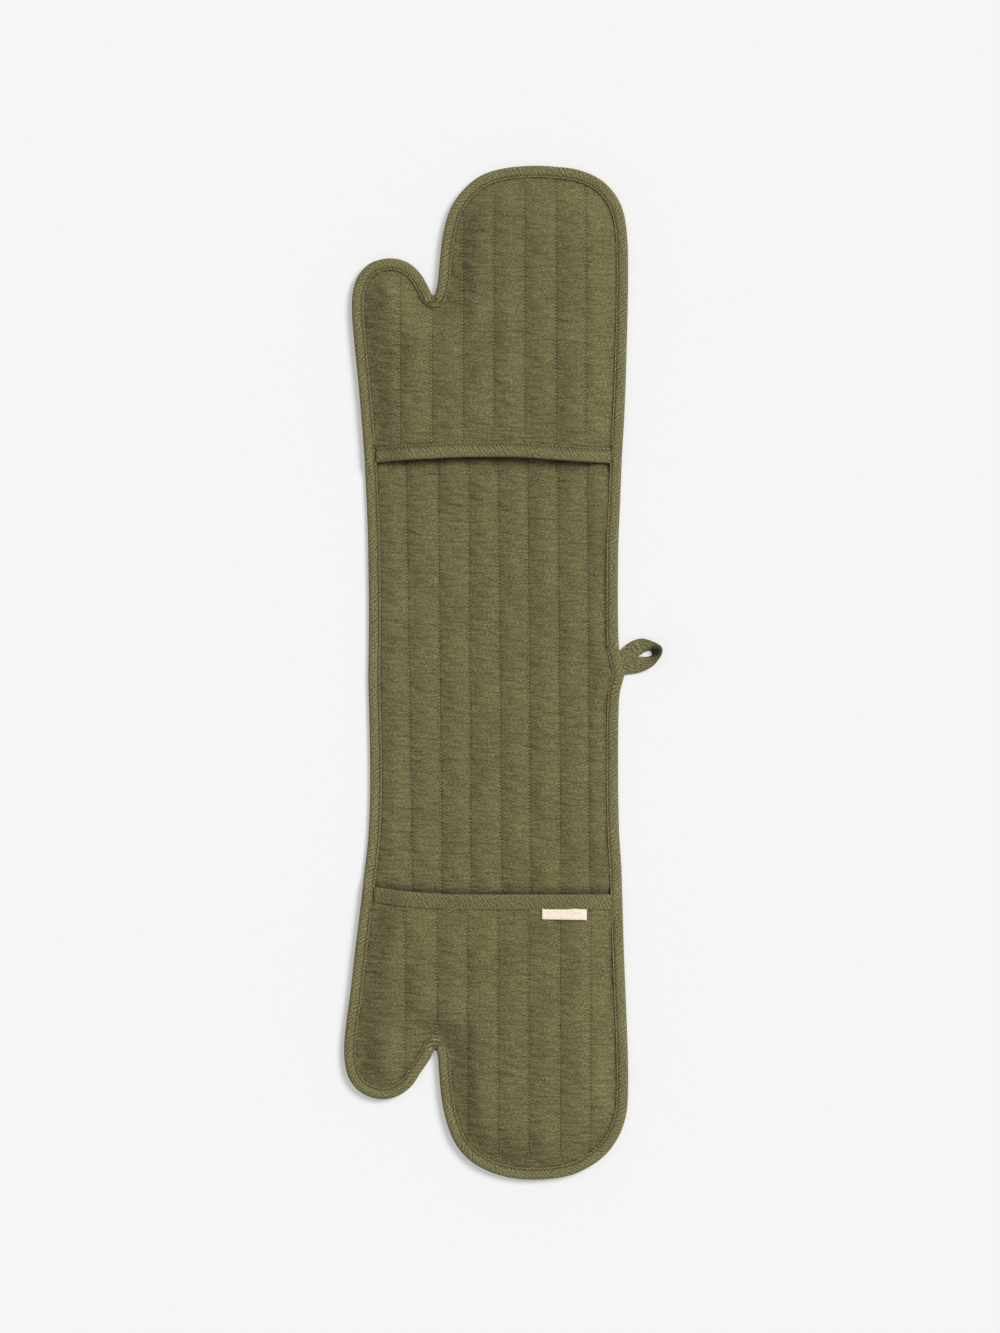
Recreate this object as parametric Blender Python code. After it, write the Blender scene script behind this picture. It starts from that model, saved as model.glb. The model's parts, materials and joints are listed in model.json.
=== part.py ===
"""Double oven glove: a quilted band with a mitt pocket at each end and a hanging loop.

The glove lies flat, palm side down, with its pockets facing up (+Z) and its length along Y.
Each half of the band runs from the fold line in the middle of the glove to one fingertip.
A half is drawn on a flat plan, as distances across the band and along it from the fold line.
Every ply is a sheet on that plan, lifted to its own heights, so the plies lie on each other.
Lengths are in metres.
"""

import math

import bmesh
import bpy
from mathutils import Vector
from mathutils.geometry import delaunay_2d_cdt

# Overall sizes of the band and the two mitts
WAIST_WIDTH = 0.2125
UPPER_HALF_LENGTH = 0.4355
LOWER_HALF_LENGTH = 0.4258
UPPER_MITT_LENGTH = 0.2478
LOWER_MITT_LENGTH = 0.2422
UPPER_MOUTH_ARCH = 0.0043
LOWER_MOUTH_ARCH = 0.0060
NOTCH_RADIUS = 0.0015

# Plies, from the floor up
CLOTH = 0.0006
PLY_GAP = 0.0003
PRESSED_WADDING = 0.0007
BAND_HEIGHT = 0.0056
MITT_THICKNESS = 0.0053
POCKET_GAP = 0.0062
DOME_RUN = 0.0280
PUFF_RUN = 0.0120

# Rows of quilting
ROW_PITCH = 0.0255
ROW_COUNT = 7
THREAD_WIDTH = 0.0008
THREAD_HEIGHT = 0.0004

# Bindings
BINDING_WIDTH = 0.0100
UNDER_LEG_WIDTH = 0.0096
STITCH_INSET = 0.0087
BINDING_CLIMB = 0.0110
MOUTH_BINDING_WIDTH = 0.0100
MOUTH_UNDER_WIDTH = 0.0096
MOUTH_STITCH_INSET = 0.0087

# Clearances at the fold line, between the binding's lengths and at the loop's root
FOLD_GAP = 0.0003
BINDING_GAP = 0.0003
LOOP_GAP = 0.0005

# Hanging loop
LOOP_LENGTH = 0.0357
LOOP_TAPE = 0.0012
LOOP_LIFT = 0.0085
LOOP_FLOOR = 0.0008

# Label
LABEL_WIDTH = 0.0380
LABEL_LENGTH = 0.0088
LABEL_CLOTH = 0.0005
LABEL_ACROSS = 0.0602

# How finely the outline and the plan are divided
HAND_STEP = 0.0180
THUMB_STEP = 0.0110
SIDE_STEP = 0.0450
LINE_STEP = 0.0400
NOTCH_STEPS = 4
MERGE = 0.000001
# Faces that meet at more than this many degrees keep a sharp edge between them
SHARP_DEGREES = 40

HALF_WAIST = WAIST_WIDTH / 2
# The cloth of a binding, with the gap to the ply that it covers
LEG = CLOTH + PLY_GAP
# The pressed plies of the mitt front, and of the band down to the floor
PRESSED_MITT = CLOTH + PLY_GAP + PRESSED_WADDING + PLY_GAP + CLOTH
PRESSED_BAND = LEG + PRESSED_MITT

# Points of an outline: across, as a share of half the waist width, and along the band.
# For a hand and a thumb, along is a share of the mitt's length from its mouth.
# For a side of the band, it is a share of the band's length from the fold line.
UPPER_SHARES = {
    "right": [
        (1.043, 0.0), (1.050, 0.015), (1.009, 0.131), (1.002, 0.196), (0.998, 0.355),
        (1.002, 0.604), (1.017, 0.808), (1.030, 1.0),
    ],
    "hand": [
        (1.030, 0.0), (1.050, 0.146), (1.066, 0.334), (1.080, 0.626), (1.066, 0.787),
        (1.010, 0.878), (0.878, 0.947), (0.694, 0.985), (0.478, 0.998), (0.270, 1.0),
        (0.054, 0.989), (-0.106, 0.965), (-0.242, 0.916), (-0.338, 0.856),
        (-0.396, 0.777), (-0.423, 0.695), (-0.439, 0.616), (-0.448, 0.588),
    ],
    "notch": (-0.475, 0.544),
    "thumb": [
        (-0.522, 0.587), (-0.578, 0.628), (-0.666, 0.664), (-0.770, 0.681),
        (-0.882, 0.681), (-0.998, 0.662), (-1.082, 0.621), (-1.123, 0.568),
        (-1.131, 0.499), (-1.114, 0.403), (-1.079, 0.252), (-1.051, 0.115), (-1.031, 0.0),
    ],
    "left": [(-1.031, 1.0), (-1.014, 0.808), (-1.002, 0.626), (-0.995, 0.264), (-1.0, 0.0)],
    # Across the mouth's edge, and how far it dips towards the fold, as a share of its arch
    "mouth": [
        (-0.914, 1.0), (-0.746, 0.6), (-0.426, 0.2), (-0.266, 0.0), (0.214, 0.0),
        (0.534, 0.6), (0.910, 1.12),
    ],
}
LOWER_SHARES = {
    "right": [
        (1.043, 0.0), (1.018, 0.054), (1.006, 0.114), (1.0, 0.332), (1.006, 0.679),
        (1.026, 0.878), (1.033, 1.0),
    ],
    "hand": [
        (1.033, 0.0), (1.046, 0.196), (1.070, 0.459), (1.080, 0.617), (1.075, 0.740),
        (1.050, 0.799), (0.998, 0.855), (0.910, 0.909), (0.790, 0.951), (0.630, 0.984),
        (0.438, 0.999), (0.230, 1.0), (0.054, 0.986), (-0.090, 0.961), (-0.210, 0.925),
        (-0.314, 0.866), (-0.380, 0.789), (-0.416, 0.708), (-0.435, 0.617), (-0.440, 0.578),
    ],
    "notch": (-0.458, 0.534),
    "thumb": [
        (-0.506, 0.578), (-0.578, 0.624), (-0.658, 0.675), (-0.762, 0.707),
        (-0.874, 0.719), (-0.994, 0.710), (-1.090, 0.684), (-1.155, 0.645),
        (-1.187, 0.592), (-1.193, 0.529), (-1.175, 0.448), (-1.146, 0.353),
        (-1.107, 0.203), (-1.075, 0.090), (-1.051, 0.0),
    ],
    "left": [
        (-1.051, 1.0), (-1.034, 0.911), (-1.002, 0.749), (-0.987, 0.563), (-0.986, 0.355),
        (-1.0, 0.0),
    ],
    "mouth": [(-0.938, 1.0), (-0.746, 0.54), (-0.506, 0.19), (-0.266, 0.03), (0.910, 0.0)],
}

# The places on the upper half's right side between which the loop is sewn in
LOOP_ROOT_TOP_SHARE = UPPER_SHARES["right"][2]
LOOP_ROOT_END_SHARE = UPPER_SHARES["right"][1]

# The loop's tape, from its upper root round the tip to its lower root. For its inner edge
# and then its outer edge: out from the root, as a share of the loop's length, and down the
# root line, as a share of that line. The last value is how far the outer edge stands up.
LOOP_SHARES = [
    (0.0, 0.475, 0.0, 0.009, 0.00), (0.163, 0.390, 0.179, -0.130, 0.05),
    (0.315, 0.341, 0.337, -0.235, 0.12), (0.468, 0.277, 0.533, -0.247, 0.25),
    (0.606, 0.243, 0.725, -0.131, 0.45), (0.711, 0.277, 0.886, 0.037, 0.70),
    (0.786, 0.378, 0.989, 0.225, 0.90), (0.791, 0.489, 0.994, 0.402, 1.00),
    (0.740, 0.570, 0.899, 0.624, 0.85), (0.623, 0.595, 0.738, 0.846, 0.60),
    (0.460, 0.543, 0.523, 1.011, 0.40), (0.304, 0.525, 0.301, 1.041, 0.22),
    (0.158, 0.529, 0.133, 1.023, 0.08), (0.0, 0.555, 0.0, 0.999, 0.00),
]


def clear_scene():
    """Removes whatever the scene held at the start."""
    for obj in list(bpy.data.objects):
        bpy.data.objects.remove(obj, do_unlink=True)


def textile(name, hex_colour, roughness):
    """A plain dyed textile, with no metal in it and no gloss."""
    material = bpy.data.materials.new(name)
    material.use_nodes = True
    shader = material.node_tree.nodes["Principled BSDF"]
    channels = [int(hex_colour[i:i + 2], 16) / 255 for i in (0, 2, 4)]
    linear = [c / 12.92 if c <= 0.04045 else ((c + 0.055) / 1.055) ** 2.4 for c in channels]
    shader.inputs["Base Color"].default_value = (*linear, 1)
    shader.inputs["Roughness"].default_value = roughness
    shader.inputs["Metallic"].default_value = 0
    material.diffuse_color = (*linear, 1)
    return material


def smoothstep(share):
    """A soft rise from 0 to 1."""
    share = min(max(share, 0), 1)
    return share * share * (3 - 2 * share)


def smooth_path(points, step):
    """Even points, about one step apart, on a smooth curve through the given points."""
    reach = [0]
    for a, b in zip(points, points[1:]):
        reach.append(reach[-1] + (b - a).length)
    slopes = []
    for i in range(len(points)):
        before = max(i - 1, 0)
        after = min(i + 1, len(points) - 1)
        slopes.append((points[after] - points[before]) / (reach[after] - reach[before]))
    count = max(2, round(reach[-1] / step))
    path = []
    piece = 0
    for k in range(count + 1):
        distance = reach[-1] * k / count
        while piece < len(points) - 2 and distance > reach[piece + 1]:
            piece += 1
        span = reach[piece + 1] - reach[piece]
        t = (distance - reach[piece]) / span
        path.append(
            points[piece] * (2 * t ** 3 - 3 * t ** 2 + 1)
            + slopes[piece] * span * (t ** 3 - 2 * t ** 2 + t)
            + points[piece + 1] * (3 * t ** 2 - 2 * t ** 3)
            + slopes[piece + 1] * span * (t ** 3 - t ** 2)
        )
    return path


def rounded_corner(before, corner, after, radius, steps):
    """An arc of this radius in place of the corner between two straight stretches."""
    back = (before - corner).normalized()
    onward = (after - corner).normalized()
    half_angle = back.angle(onward) / 2
    centre = corner + (back + onward).normalized() * radius / math.sin(half_angle)
    reach = radius / math.tan(half_angle)
    first = corner + back * reach - centre
    last = corner + onward * reach - centre
    start = math.atan2(first.y, first.x)
    turn = math.atan2(last.y, last.x) - start
    turn -= math.tau * round(turn / math.tau)
    angles = [start + turn * k / steps for k in range(steps + 1)]
    return [centre + radius * Vector((math.cos(angle), math.sin(angle))) for angle in angles]


def with_level(points, level):
    """The polyline, with a point added wherever it crosses this distance along the band."""
    result = [points[0]]
    for a, b in zip(points, points[1:]):
        if min(a.y, b.y) + MERGE < level < max(a.y, b.y) - MERGE:
            result.append(a.lerp(b, (level - a.y) / (b.y - a.y)))
        result.append(b)
    return result


def inset(points, distance):
    """The polyline moved to its left, square to itself. Its two ends move straight across."""
    moved = [points[0] - Vector((distance, 0))]
    for before, point, after in zip(points, points[1:], points[2:]):
        onward = (after - point).normalized()
        along = ((point - before).normalized() + onward).normalized()
        moved.append(point + Vector((-along.y, along.x)) * distance / along.dot(onward))
    moved.append(points[-1] + Vector((distance, 0)))
    return moved


def distance_to(points, place):
    """How far a place on the plan is from a polyline."""
    best = math.inf
    for a, b in zip(points, points[1:]):
        run = b - a
        share = min(max((place - a).dot(run) / run.length_squared, 0), 1)
        best = min(best, (place - a - run * share).length)
    return best


def is_inside(polygon, place):
    """Whether a place on the plan lies inside a closed outline."""
    inside = False
    for i, a in enumerate(polygon):
        b = polygon[i - 1]
        if (a.y > place.y) != (b.y > place.y):
            if place.x < (b.x - a.x) * (place.y - a.y) / (b.y - a.y) + a.x:
                inside = not inside
    return inside


def height_between(row, x):
    """The height at x of a row of points that runs from left to right."""
    x = min(max(x, row[0].x), row[-1].x)
    for a, b in zip(row, row[1:]):
        if x <= b.x:
            break
    return a.y + (b.y - a.y) * (x - a.x) / (b.x - a.x)


def new_object(name, shape, material, pivot):
    """One named piece from a shape in the part's frame, with its origin on its joint."""
    bmesh.ops.recalc_face_normals(shape, faces=shape.faces)
    bmesh.ops.translate(shape, verts=shape.verts, vec=-pivot)
    mesh = bpy.data.meshes.new(name)
    shape.to_mesh(mesh)
    shape.free()
    mesh.materials.append(material)
    mesh.shade_smooth()
    mesh.set_sharp_from_angle(angle=math.radians(SHARP_DEGREES))
    obj = bpy.data.objects.new(name, mesh)
    obj.location = pivot
    bpy.context.collection.objects.link(obj)
    return obj


def lofted(name, sections, material, pivot):
    """A piece drawn through closed sections of equally many corners, with capped ends."""
    shape = bmesh.new()
    loops = [[shape.verts.new(corner) for corner in section] for section in sections]
    for one, other in zip(loops, loops[1:]):
        for i in range(len(one)):
            shape.faces.new((one[i - 1], one[i], other[i], other[i - 1]))
    shape.faces.new(loops[0])
    shape.faces.new(loops[-1])
    caps = [face for face in shape.faces if len(face.verts) > 4]
    bmesh.ops.triangulate(shape, faces=caps, ngon_method="EAR_CLIP")
    return new_object(name, shape, material, pivot)


class Half:
    """One half of the glove: its outline, its plan, and the heights of its plies."""

    def __init__(self, name, direction, half_length, mitt_length, mouth_arch, shares):
        self.name = name
        self.direction = direction
        self.mitt_length = mitt_length
        self.band_length = half_length - mitt_length
        self.mouth = [
            Vector((across * HALF_WAIST, self.band_length - dip * mouth_arch))
            for across, dip in shares["mouth"]
        ]
        self.origin = Vector((0, 0))
        self.outline, self.notch = self.make_outline(shares)
        self.mouth_end = self.right_of_mouth()
        self.ply_edge = inset(self.outline, LEG)
        self.hem = inset(self.outline, BINDING_WIDTH)
        self.field = inset(self.outline, BINDING_WIDTH + PLY_GAP)

    def on_side(self, share):
        """A point of the band's side, from its shares."""
        return Vector((share[0] * HALF_WAIST, share[1] * self.band_length))

    def on_mitt(self, share):
        """A point of the mitt's outline, from its shares."""
        return Vector((share[0] * HALF_WAIST, self.band_length + share[1] * self.mitt_length))

    def make_outline(self, shares):
        """The outer edge, from the fold line up the right side and round to the left side.

        It is given with the place in it of the deepest point between hand and thumb.
        """
        right = [self.on_side(share) for share in shares["right"]]
        hand = smooth_path([self.on_mitt(share) for share in shares["hand"]], HAND_STEP)
        thumb = smooth_path([self.on_mitt(share) for share in shares["thumb"]], THUMB_STEP)
        left = smooth_path([self.on_side(share) for share in shares["left"]], SIDE_STEP)
        corner = self.on_mitt(shares["notch"])
        notch = rounded_corner(hand[-1], corner, thumb[0], NOTCH_RADIUS, NOTCH_STEPS)
        # The binding needs a section at each end of its climb on to the mitt
        mouth = self.mouth_at(HALF_WAIST)
        right = with_level(with_level(right, mouth - BINDING_CLIMB), mouth)
        mouth = self.mouth_at(-HALF_WAIST)
        left = with_level(with_level(left, mouth - BINDING_CLIMB), mouth)
        before_notch = right[:-1] + hand
        outline = before_notch + notch + thumb[:-1] + left
        return outline, len(before_notch) + NOTCH_STEPS // 2

    def mouth_at(self, x):
        """How far along the band the mouth's edge lies, at this place across it."""
        return height_between(self.mouth, x)

    def right_of_mouth(self):
        """Which point of the outline is level with the right end of the mouth."""
        level = self.mouth_at(HALF_WAIST)
        numbers = [i for i, point in enumerate(self.outline) if point.x > 0]
        return min(numbers, key=lambda i: abs(self.outline[i].y - level))

    def place(self, point, z):
        """A point of the plan, at this height, in the part's frame."""
        y = self.direction * (point.y + FOLD_GAP / 2)
        return Vector((point.x - self.origin.x, y - self.origin.y, z))

    def make_plan(self):
        """Divides the half into triangles that every ply shares."""
        self.lines = []
        for k in range(-ROW_COUNT, ROW_COUNT + 1):
            self.add_line(k * ROW_PITCH / 2)
        self.mouth_rows = []
        for beyond in (LEG, MOUTH_BINDING_WIDTH + PLY_GAP):
            self.mouth_rows.append(self.row_across(beyond))
        edge = self.with_crossings()
        chains = [self.ply_edge + [self.ply_edge[0]], edge, *self.lines, *self.mouth_rows]
        points = []
        bonds = []
        for chain in chains:
            bonds.extend((len(points) + i, len(points) + i + 1) for i in range(len(chain) - 1))
            points.extend(chain)
        found = delaunay_2d_cdt(points, bonds, [], 0, MERGE)
        self.points = [Vector(point) for point in found[0]]
        self.ring = []
        self.inner = []
        self.front = []
        for triangle in found[2]:
            centre = sum((self.points[i] for i in triangle), Vector((0, 0))) / len(triangle)
            if is_inside(self.field, centre):
                self.inner.append(triangle)
                if centre.y > height_between(self.mouth_rows[0], centre.x):
                    self.front.append(triangle)
            elif is_inside(self.ply_edge, centre):
                self.ring.append(triangle)
        self.band_levels = [self.levels_of_band(point) for point in self.points]
        self.front_levels = [self.levels_of_front(point) for point in self.points]

    def add_line(self, x):
        """Adds the line of points along the band at x, on a row of quilting or between two."""
        crossings = []
        for a, b in zip(self.field, self.field[1:] + self.field[:1]):
            if (a.x > x) != (b.x > x):
                crossings.append(a.y + (b.y - a.y) * (x - a.x) / (b.x - a.x))
        crossings.sort()
        spans = zip(crossings[::2], crossings[1::2])
        low, high = max(spans, key=lambda span: span[1] - span[0], default=(0, 0))
        mouth = self.mouth_at(x)
        if high < mouth + MOUTH_BINDING_WIDTH + PUFF_RUN * 2:
            return
        start = mouth + MOUTH_BINDING_WIDTH + PLY_GAP
        stations = [low, self.band_length / 2, mouth + LEG, start, high - PUFF_RUN, high]
        for k in range(1, 1 + int((high - start) / LINE_STEP)):
            station = start + LINE_STEP * k
            if min(abs(station - other) for other in stations) > LINE_STEP / 3:
                stations.append(station)
        self.lines.append([Vector((x, station)) for station in sorted(stations)])

    def row_across(self, beyond):
        """The row of points across the band at this distance beyond the mouth's edge."""
        row = [Vector((line[0].x, self.mouth_at(line[0].x) + beyond)) for line in self.lines]
        for side in (-1, 1):
            level = self.mouth_at(side * HALF_WAIST) + beyond
            for a, b in zip(self.field, self.field[1:]):
                if (a.y > level) != (b.y > level) and a.x * side > HALF_WAIST / 2:
                    row.append(a.lerp(b, (level - a.y) / (b.y - a.y)))
        return sorted(row, key=lambda point: point.x)

    def with_crossings(self):
        """The field's edge, with the ends of the lines and rows added where they meet it."""
        ends = [line[i] for line in self.lines for i in (0, -1)]
        ends += [row[i] for row in self.mouth_rows for i in (0, -1)]
        result = []
        for a, b in zip(self.field, self.field[1:]):
            met = [end for end in ends if distance_to([a, b], end) < MERGE]
            result += [a, *sorted(met, key=lambda end: (end - a).length)]
        return result + [self.field[-1]]

    def fullness(self, point):
        """How far a place is from the pressed edge, as the distance from the binding."""
        return distance_to(self.field, point) if is_inside(self.field, point) else 0

    def channel(self, x):
        """How full the quilting is across the band: 0 on a row of stitches, 1 between two."""
        middle = (ROW_COUNT - 1) / 2
        nearest = min(abs(x - (i - middle) * ROW_PITCH) for i in range(ROW_COUNT))
        return min(1, nearest / (ROW_PITCH / 2))

    def levels_of_band(self, point):
        """The heights of the faces of the band's three plies, from the floor up."""
        puff = smoothstep(self.fullness(point) / PUFF_RUN) * self.channel(point.x)
        low = LEG * (1 - puff)
        top = PRESSED_BAND + (BAND_HEIGHT - PRESSED_BAND) * puff
        return (low, low + CLOTH, low + LEG, top - LEG, top - CLOTH, top)

    def levels_of_front(self, point):
        """The heights of the faces of the mitt front's three plies, from its lining up."""
        from_edge = self.fullness(point)
        from_binding = point.y - height_between(self.mouth_rows[1], point.x)
        full = smoothstep(from_edge / PUFF_RUN)
        past_binding = smoothstep(from_binding / PUFF_RUN)
        puff = min(full, past_binding) * self.channel(point.x)
        low = PRESSED_BAND + (BAND_HEIGHT - PRESSED_BAND) * full + PLY_GAP
        low += POCKET_GAP * smoothstep(from_edge / DOME_RUN)
        low += LEG * (max(full, 1 - past_binding) - puff)
        top = low + PRESSED_MITT + (MITT_THICKNESS - PRESSED_MITT) * puff
        return (low, low + CLOTH, low + LEG, top - LEG, top - CLOTH, top)

    def sheet(self, name, triangles, levels, low, material, pivot):
        """A ply over some triangles of the plan, from one of its faces up to the next."""
        shape = bmesh.new()
        under = {}
        over = {}
        for i in sorted({i for triangle in triangles for i in triangle}):
            under[i] = shape.verts.new(self.place(self.points[i], levels[i][low]))
            over[i] = shape.verts.new(self.place(self.points[i], levels[i][low + 1]))
        rims = set()
        for a, b, c in triangles:
            shape.faces.new((over[a], over[b], over[c]))
            shape.faces.new((under[c], under[b], under[a]))
            for rim in ((a, b), (b, c), (c, a)):
                if rim[::-1] in rims:
                    rims.remove(rim[::-1])
                else:
                    rims.add(rim)
        for a, b in sorted(rims):
            shape.faces.new((over[b], over[a], under[a], under[b]))
        return new_object(f"{self.name}_{name}", shape, material, pivot)

    def loft(self, name, sections, material, pivot):
        """A piece of this half, from sections of plan points with their heights."""
        placed = [[self.place(point, z) for point, z in section] for section in sections]
        return lofted(f"{self.name}_{name}", placed, material, pivot)

    def leg_height(self, point):
        """The underside of the edge binding's upper leg, which climbs where the mitt begins."""
        climbed = point.y - self.mouth_at(point.x) + BINDING_CLIMB
        share = smoothstep(climbed / (BINDING_CLIMB - PLY_GAP))
        return PRESSED_BAND + PLY_GAP + (PRESSED_MITT + PLY_GAP) * share

    def edge_binding(self, material, pivot):
        """The tape folded round the whole edge, with one leg above the plies and one below.

        It is made in three lengths, which meet at the right of the mouth and in the notch.
        """
        walls = inset(self.outline, CLOTH)
        under_hems = inset(self.outline, UNDER_LEG_WIDTH)
        lengths = {"right": [], "hand": [], "thumb": []}
        names = list(lengths)
        for i, outer in enumerate(self.outline):
            outer_top = self.leg_height(outer)
            hem_top = self.leg_height(self.hem[i])
            wall = walls[i]
            hem = self.hem[i]
            under = under_hems[i]
            section = [
                (outer, 0), (outer, outer_top + CLOTH), (hem, hem_top + CLOTH), (hem, hem_top),
                (wall, outer_top), (wall, CLOTH), (under, CLOTH), (under, 0),
            ]
            if i in (self.mouth_end, self.notch):
                onward = (self.outline[i + 1] - self.outline[i - 1]).normalized()
                gap = onward * BINDING_GAP / 2
                lengths[names.pop(0)].append([(point - gap, z) for point, z in section])
                lengths[names[0]].append([(point + gap, z) for point, z in section])
            else:
                lengths[names[0]].append(section)
        for name, sections in lengths.items():
            self.loft(f"{name}_binding", sections, material, pivot)

    def edge_stitching(self, material, pivot):
        """The seam's thread, near the inner edge of the binding."""
        near = inset(self.outline, STITCH_INSET - THREAD_WIDTH / 2)
        far = inset(self.outline, STITCH_INSET + THREAD_WIDTH / 2)
        sections = []
        for outer, hem, a, b in zip(self.outline, self.hem, near, far):
            share = STITCH_INSET / BINDING_WIDTH
            leg = self.leg_height(outer) * (1 - share) + self.leg_height(hem) * share
            low = leg + CLOTH + PLY_GAP
            high = low + THREAD_HEIGHT
            sections.append([(a, low), (a, high), (b, high), (b, low)])
        return self.loft("edge_stitching", sections, material, pivot)

    def seam_allowance(self, material, pivot):
        """The mitt front's edge, pressed flat and caught under the binding."""
        low = PRESSED_BAND + PLY_GAP
        high = low + PRESSED_MITT
        sections = []
        for outer, edge, hem in zip(self.outline, self.ply_edge, self.hem):
            if outer.y > self.mouth_at(outer.x) - MERGE:
                sections.append([(edge, low), (edge, high), (hem, high), (hem, low)])
        return self.loft("mitt_seam_allowance", sections, material, pivot)

    def mouth_levels(self):
        """Pairs of points across the mouth binding's strip, with the front's levels there."""
        for first, second in zip(*self.mouth_rows):
            yield first, self.levels_of_front(first), second, self.levels_of_front(second)

    def mouth_binding(self, material, pivot):
        """The tape folded round the mitt's mouth, with one leg above the front and one below."""
        sections = []
        for first, near, second, far in self.mouth_levels():
            outer = first - Vector((0, LEG))
            wall = first - Vector((0, PLY_GAP))
            hem = second - Vector((0, PLY_GAP))
            under = hem - Vector((0, MOUTH_BINDING_WIDTH - MOUTH_UNDER_WIDTH))
            sections.append([
                (outer, near[0] - LEG), (outer, near[-1] + LEG), (hem, far[-1] + LEG),
                (hem, far[-1] + PLY_GAP), (wall, near[-1] + PLY_GAP), (wall, near[0] - PLY_GAP),
                (under, far[0] - PLY_GAP), (under, far[0] - LEG),
            ])
        return self.loft("mouth_binding", sections, material, pivot)

    def mouth_stitching(self, material, pivot):
        """The seam's thread along the mouth binding."""
        sections = []
        for first, near, second, far in self.mouth_levels():
            start = first.y - LEG
            share = MOUTH_STITCH_INSET / (second.y - PLY_GAP - start)
            low = near[-1] * (1 - share) + far[-1] * share + LEG + PLY_GAP
            high = low + THREAD_HEIGHT
            across = first.lerp(second, share).x
            a = Vector((across, start + MOUTH_STITCH_INSET - THREAD_WIDTH / 2))
            b = Vector((across, start + MOUTH_STITCH_INSET + THREAD_WIDTH / 2))
            sections.append([(a, low), (a, high), (b, high), (b, low)])
        return self.loft("mouth_stitching", sections, material, pivot)

    def quilting_rows(self, name, levels_of, start_of, short_of_edge, material, pivot):
        """One thread in each groove, between its first and its last stitch."""
        number = 0
        for line in self.lines:
            x = line[0].x
            if self.thread_top(x) == 0:
                continue
            number += 1
            start = start_of(line) + THREAD_WIDTH
            end = line[-1].y - short_of_edge
            heights = [Vector((point.y, levels_of(point)[-1])) for point in line]
            stations = [start, *[point.y for point in line if start < point.y < end], end]
            sections = []
            for station in stations:
                low = height_between(heights, station) + PLY_GAP
                high = low + THREAD_HEIGHT
                a = Vector((x - THREAD_WIDTH / 2, station))
                b = Vector((x + THREAD_WIDTH / 2, station))
                sections.append([(a, low), (a, high), (b, high), (b, low)])
            self.loft(f"{name}_{number}", sections, material, pivot)

    def thread_top(self, x):
        """How high the quilting thread stands over the cloth here: nothing between two rows."""
        return PLY_GAP + THREAD_HEIGHT if self.channel(x) < 0.5 else 0

    def front_height(self, place):
        """The height of the mitt front's face over a place on the plan."""
        for triangle in self.front:
            a, b, c = (self.points[i] for i in triangle)
            if is_inside([a, b, c], place):
                tops = [self.front_levels[i][-1] for i in triangle]
                whole = (b - a).cross(c - a)
                corners = ((b, c), (c, a), (a, b))
                parts = [(second - first).cross(place - first) for first, second in corners]
                return sum(top * part / whole for top, part in zip(tops, parts))
        return 0

    def label(self, material, pivot):
        """The folded label, held under the mouth binding's edge and lying on the mitt."""
        left = LABEL_ACROSS - LABEL_WIDTH / 2
        start = self.mouth_at(LABEL_ACROSS) + MOUTH_BINDING_WIDTH + 2 * PLY_GAP
        places = [left, left + LABEL_WIDTH]
        places += [line[0].x for line in self.lines if left < line[0].x < left + LABEL_WIDTH]
        edges = []
        for y in (start, start + LABEL_LENGTH):
            tops = [self.front_height(Vector((x, y))) + self.thread_top(x) for x in places]
            edges.append((y, max(tops) + PLY_GAP))
        sections = []
        for x in (left, left + LABEL_WIDTH):
            (y0, z0), (y1, z1) = edges
            a = Vector((x, y0))
            b = Vector((x, y1))
            sections.append([(a, z0), (a, z0 + LABEL_CLOTH), (b, z1 + LABEL_CLOTH), (b, z1)])
        obj = self.loft("label", sections, material, pivot)
        obj.name = "woven_label"


def loop_frame(half):
    """The loop's root line on the plan: its top, the way out from it, and the way down it."""
    top = half.on_side(LOOP_ROOT_TOP_SHARE)
    line = half.on_side(LOOP_ROOT_END_SHARE) - top
    return top, Vector((-line.y, line.x)).normalized(), line


def loop_sections(half):
    """The corners of the loop's tape at each station, on the plan and with their heights."""
    top, out, line = loop_frame(half)
    sections = []
    for inner_out, inner_down, outer_out, outer_down, lift_share in LOOP_SHARES:
        inner = top + out * (LOOP_GAP + inner_out * LOOP_LENGTH) + line * inner_down
        outer = top + out * (LOOP_GAP + outer_out * LOOP_LENGTH) + line * outer_down
        low = LOOP_FLOOR
        lifted = low + LOOP_LIFT * lift_share
        sections.append([
            (inner, low), (inner, low + LOOP_TAPE), (outer, lifted + LOOP_TAPE), (outer, lifted),
        ])
    return sections


def set_origins(upper, lower):
    """Puts the part's origin under the middle of its bounding box."""
    loop = [point for section in loop_sections(upper) for point, z in section]
    across = [point.x for point in upper.outline + lower.outline + loop]
    ends = []
    for half in (upper, lower):
        ends.append(half.direction * (max(point.y for point in half.outline) + FOLD_GAP / 2))
    for half in (upper, lower):
        half.origin = Vector((min(across) + max(across), sum(ends))) / 2


def mitt_pivot(half):
    """Where the mitt front hinges: on its edge at the fingertip."""
    tip = max(half.field, key=lambda point: point.y)
    return half.place(tip, PRESSED_BAND + PLY_GAP + PRESSED_MITT)


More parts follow.
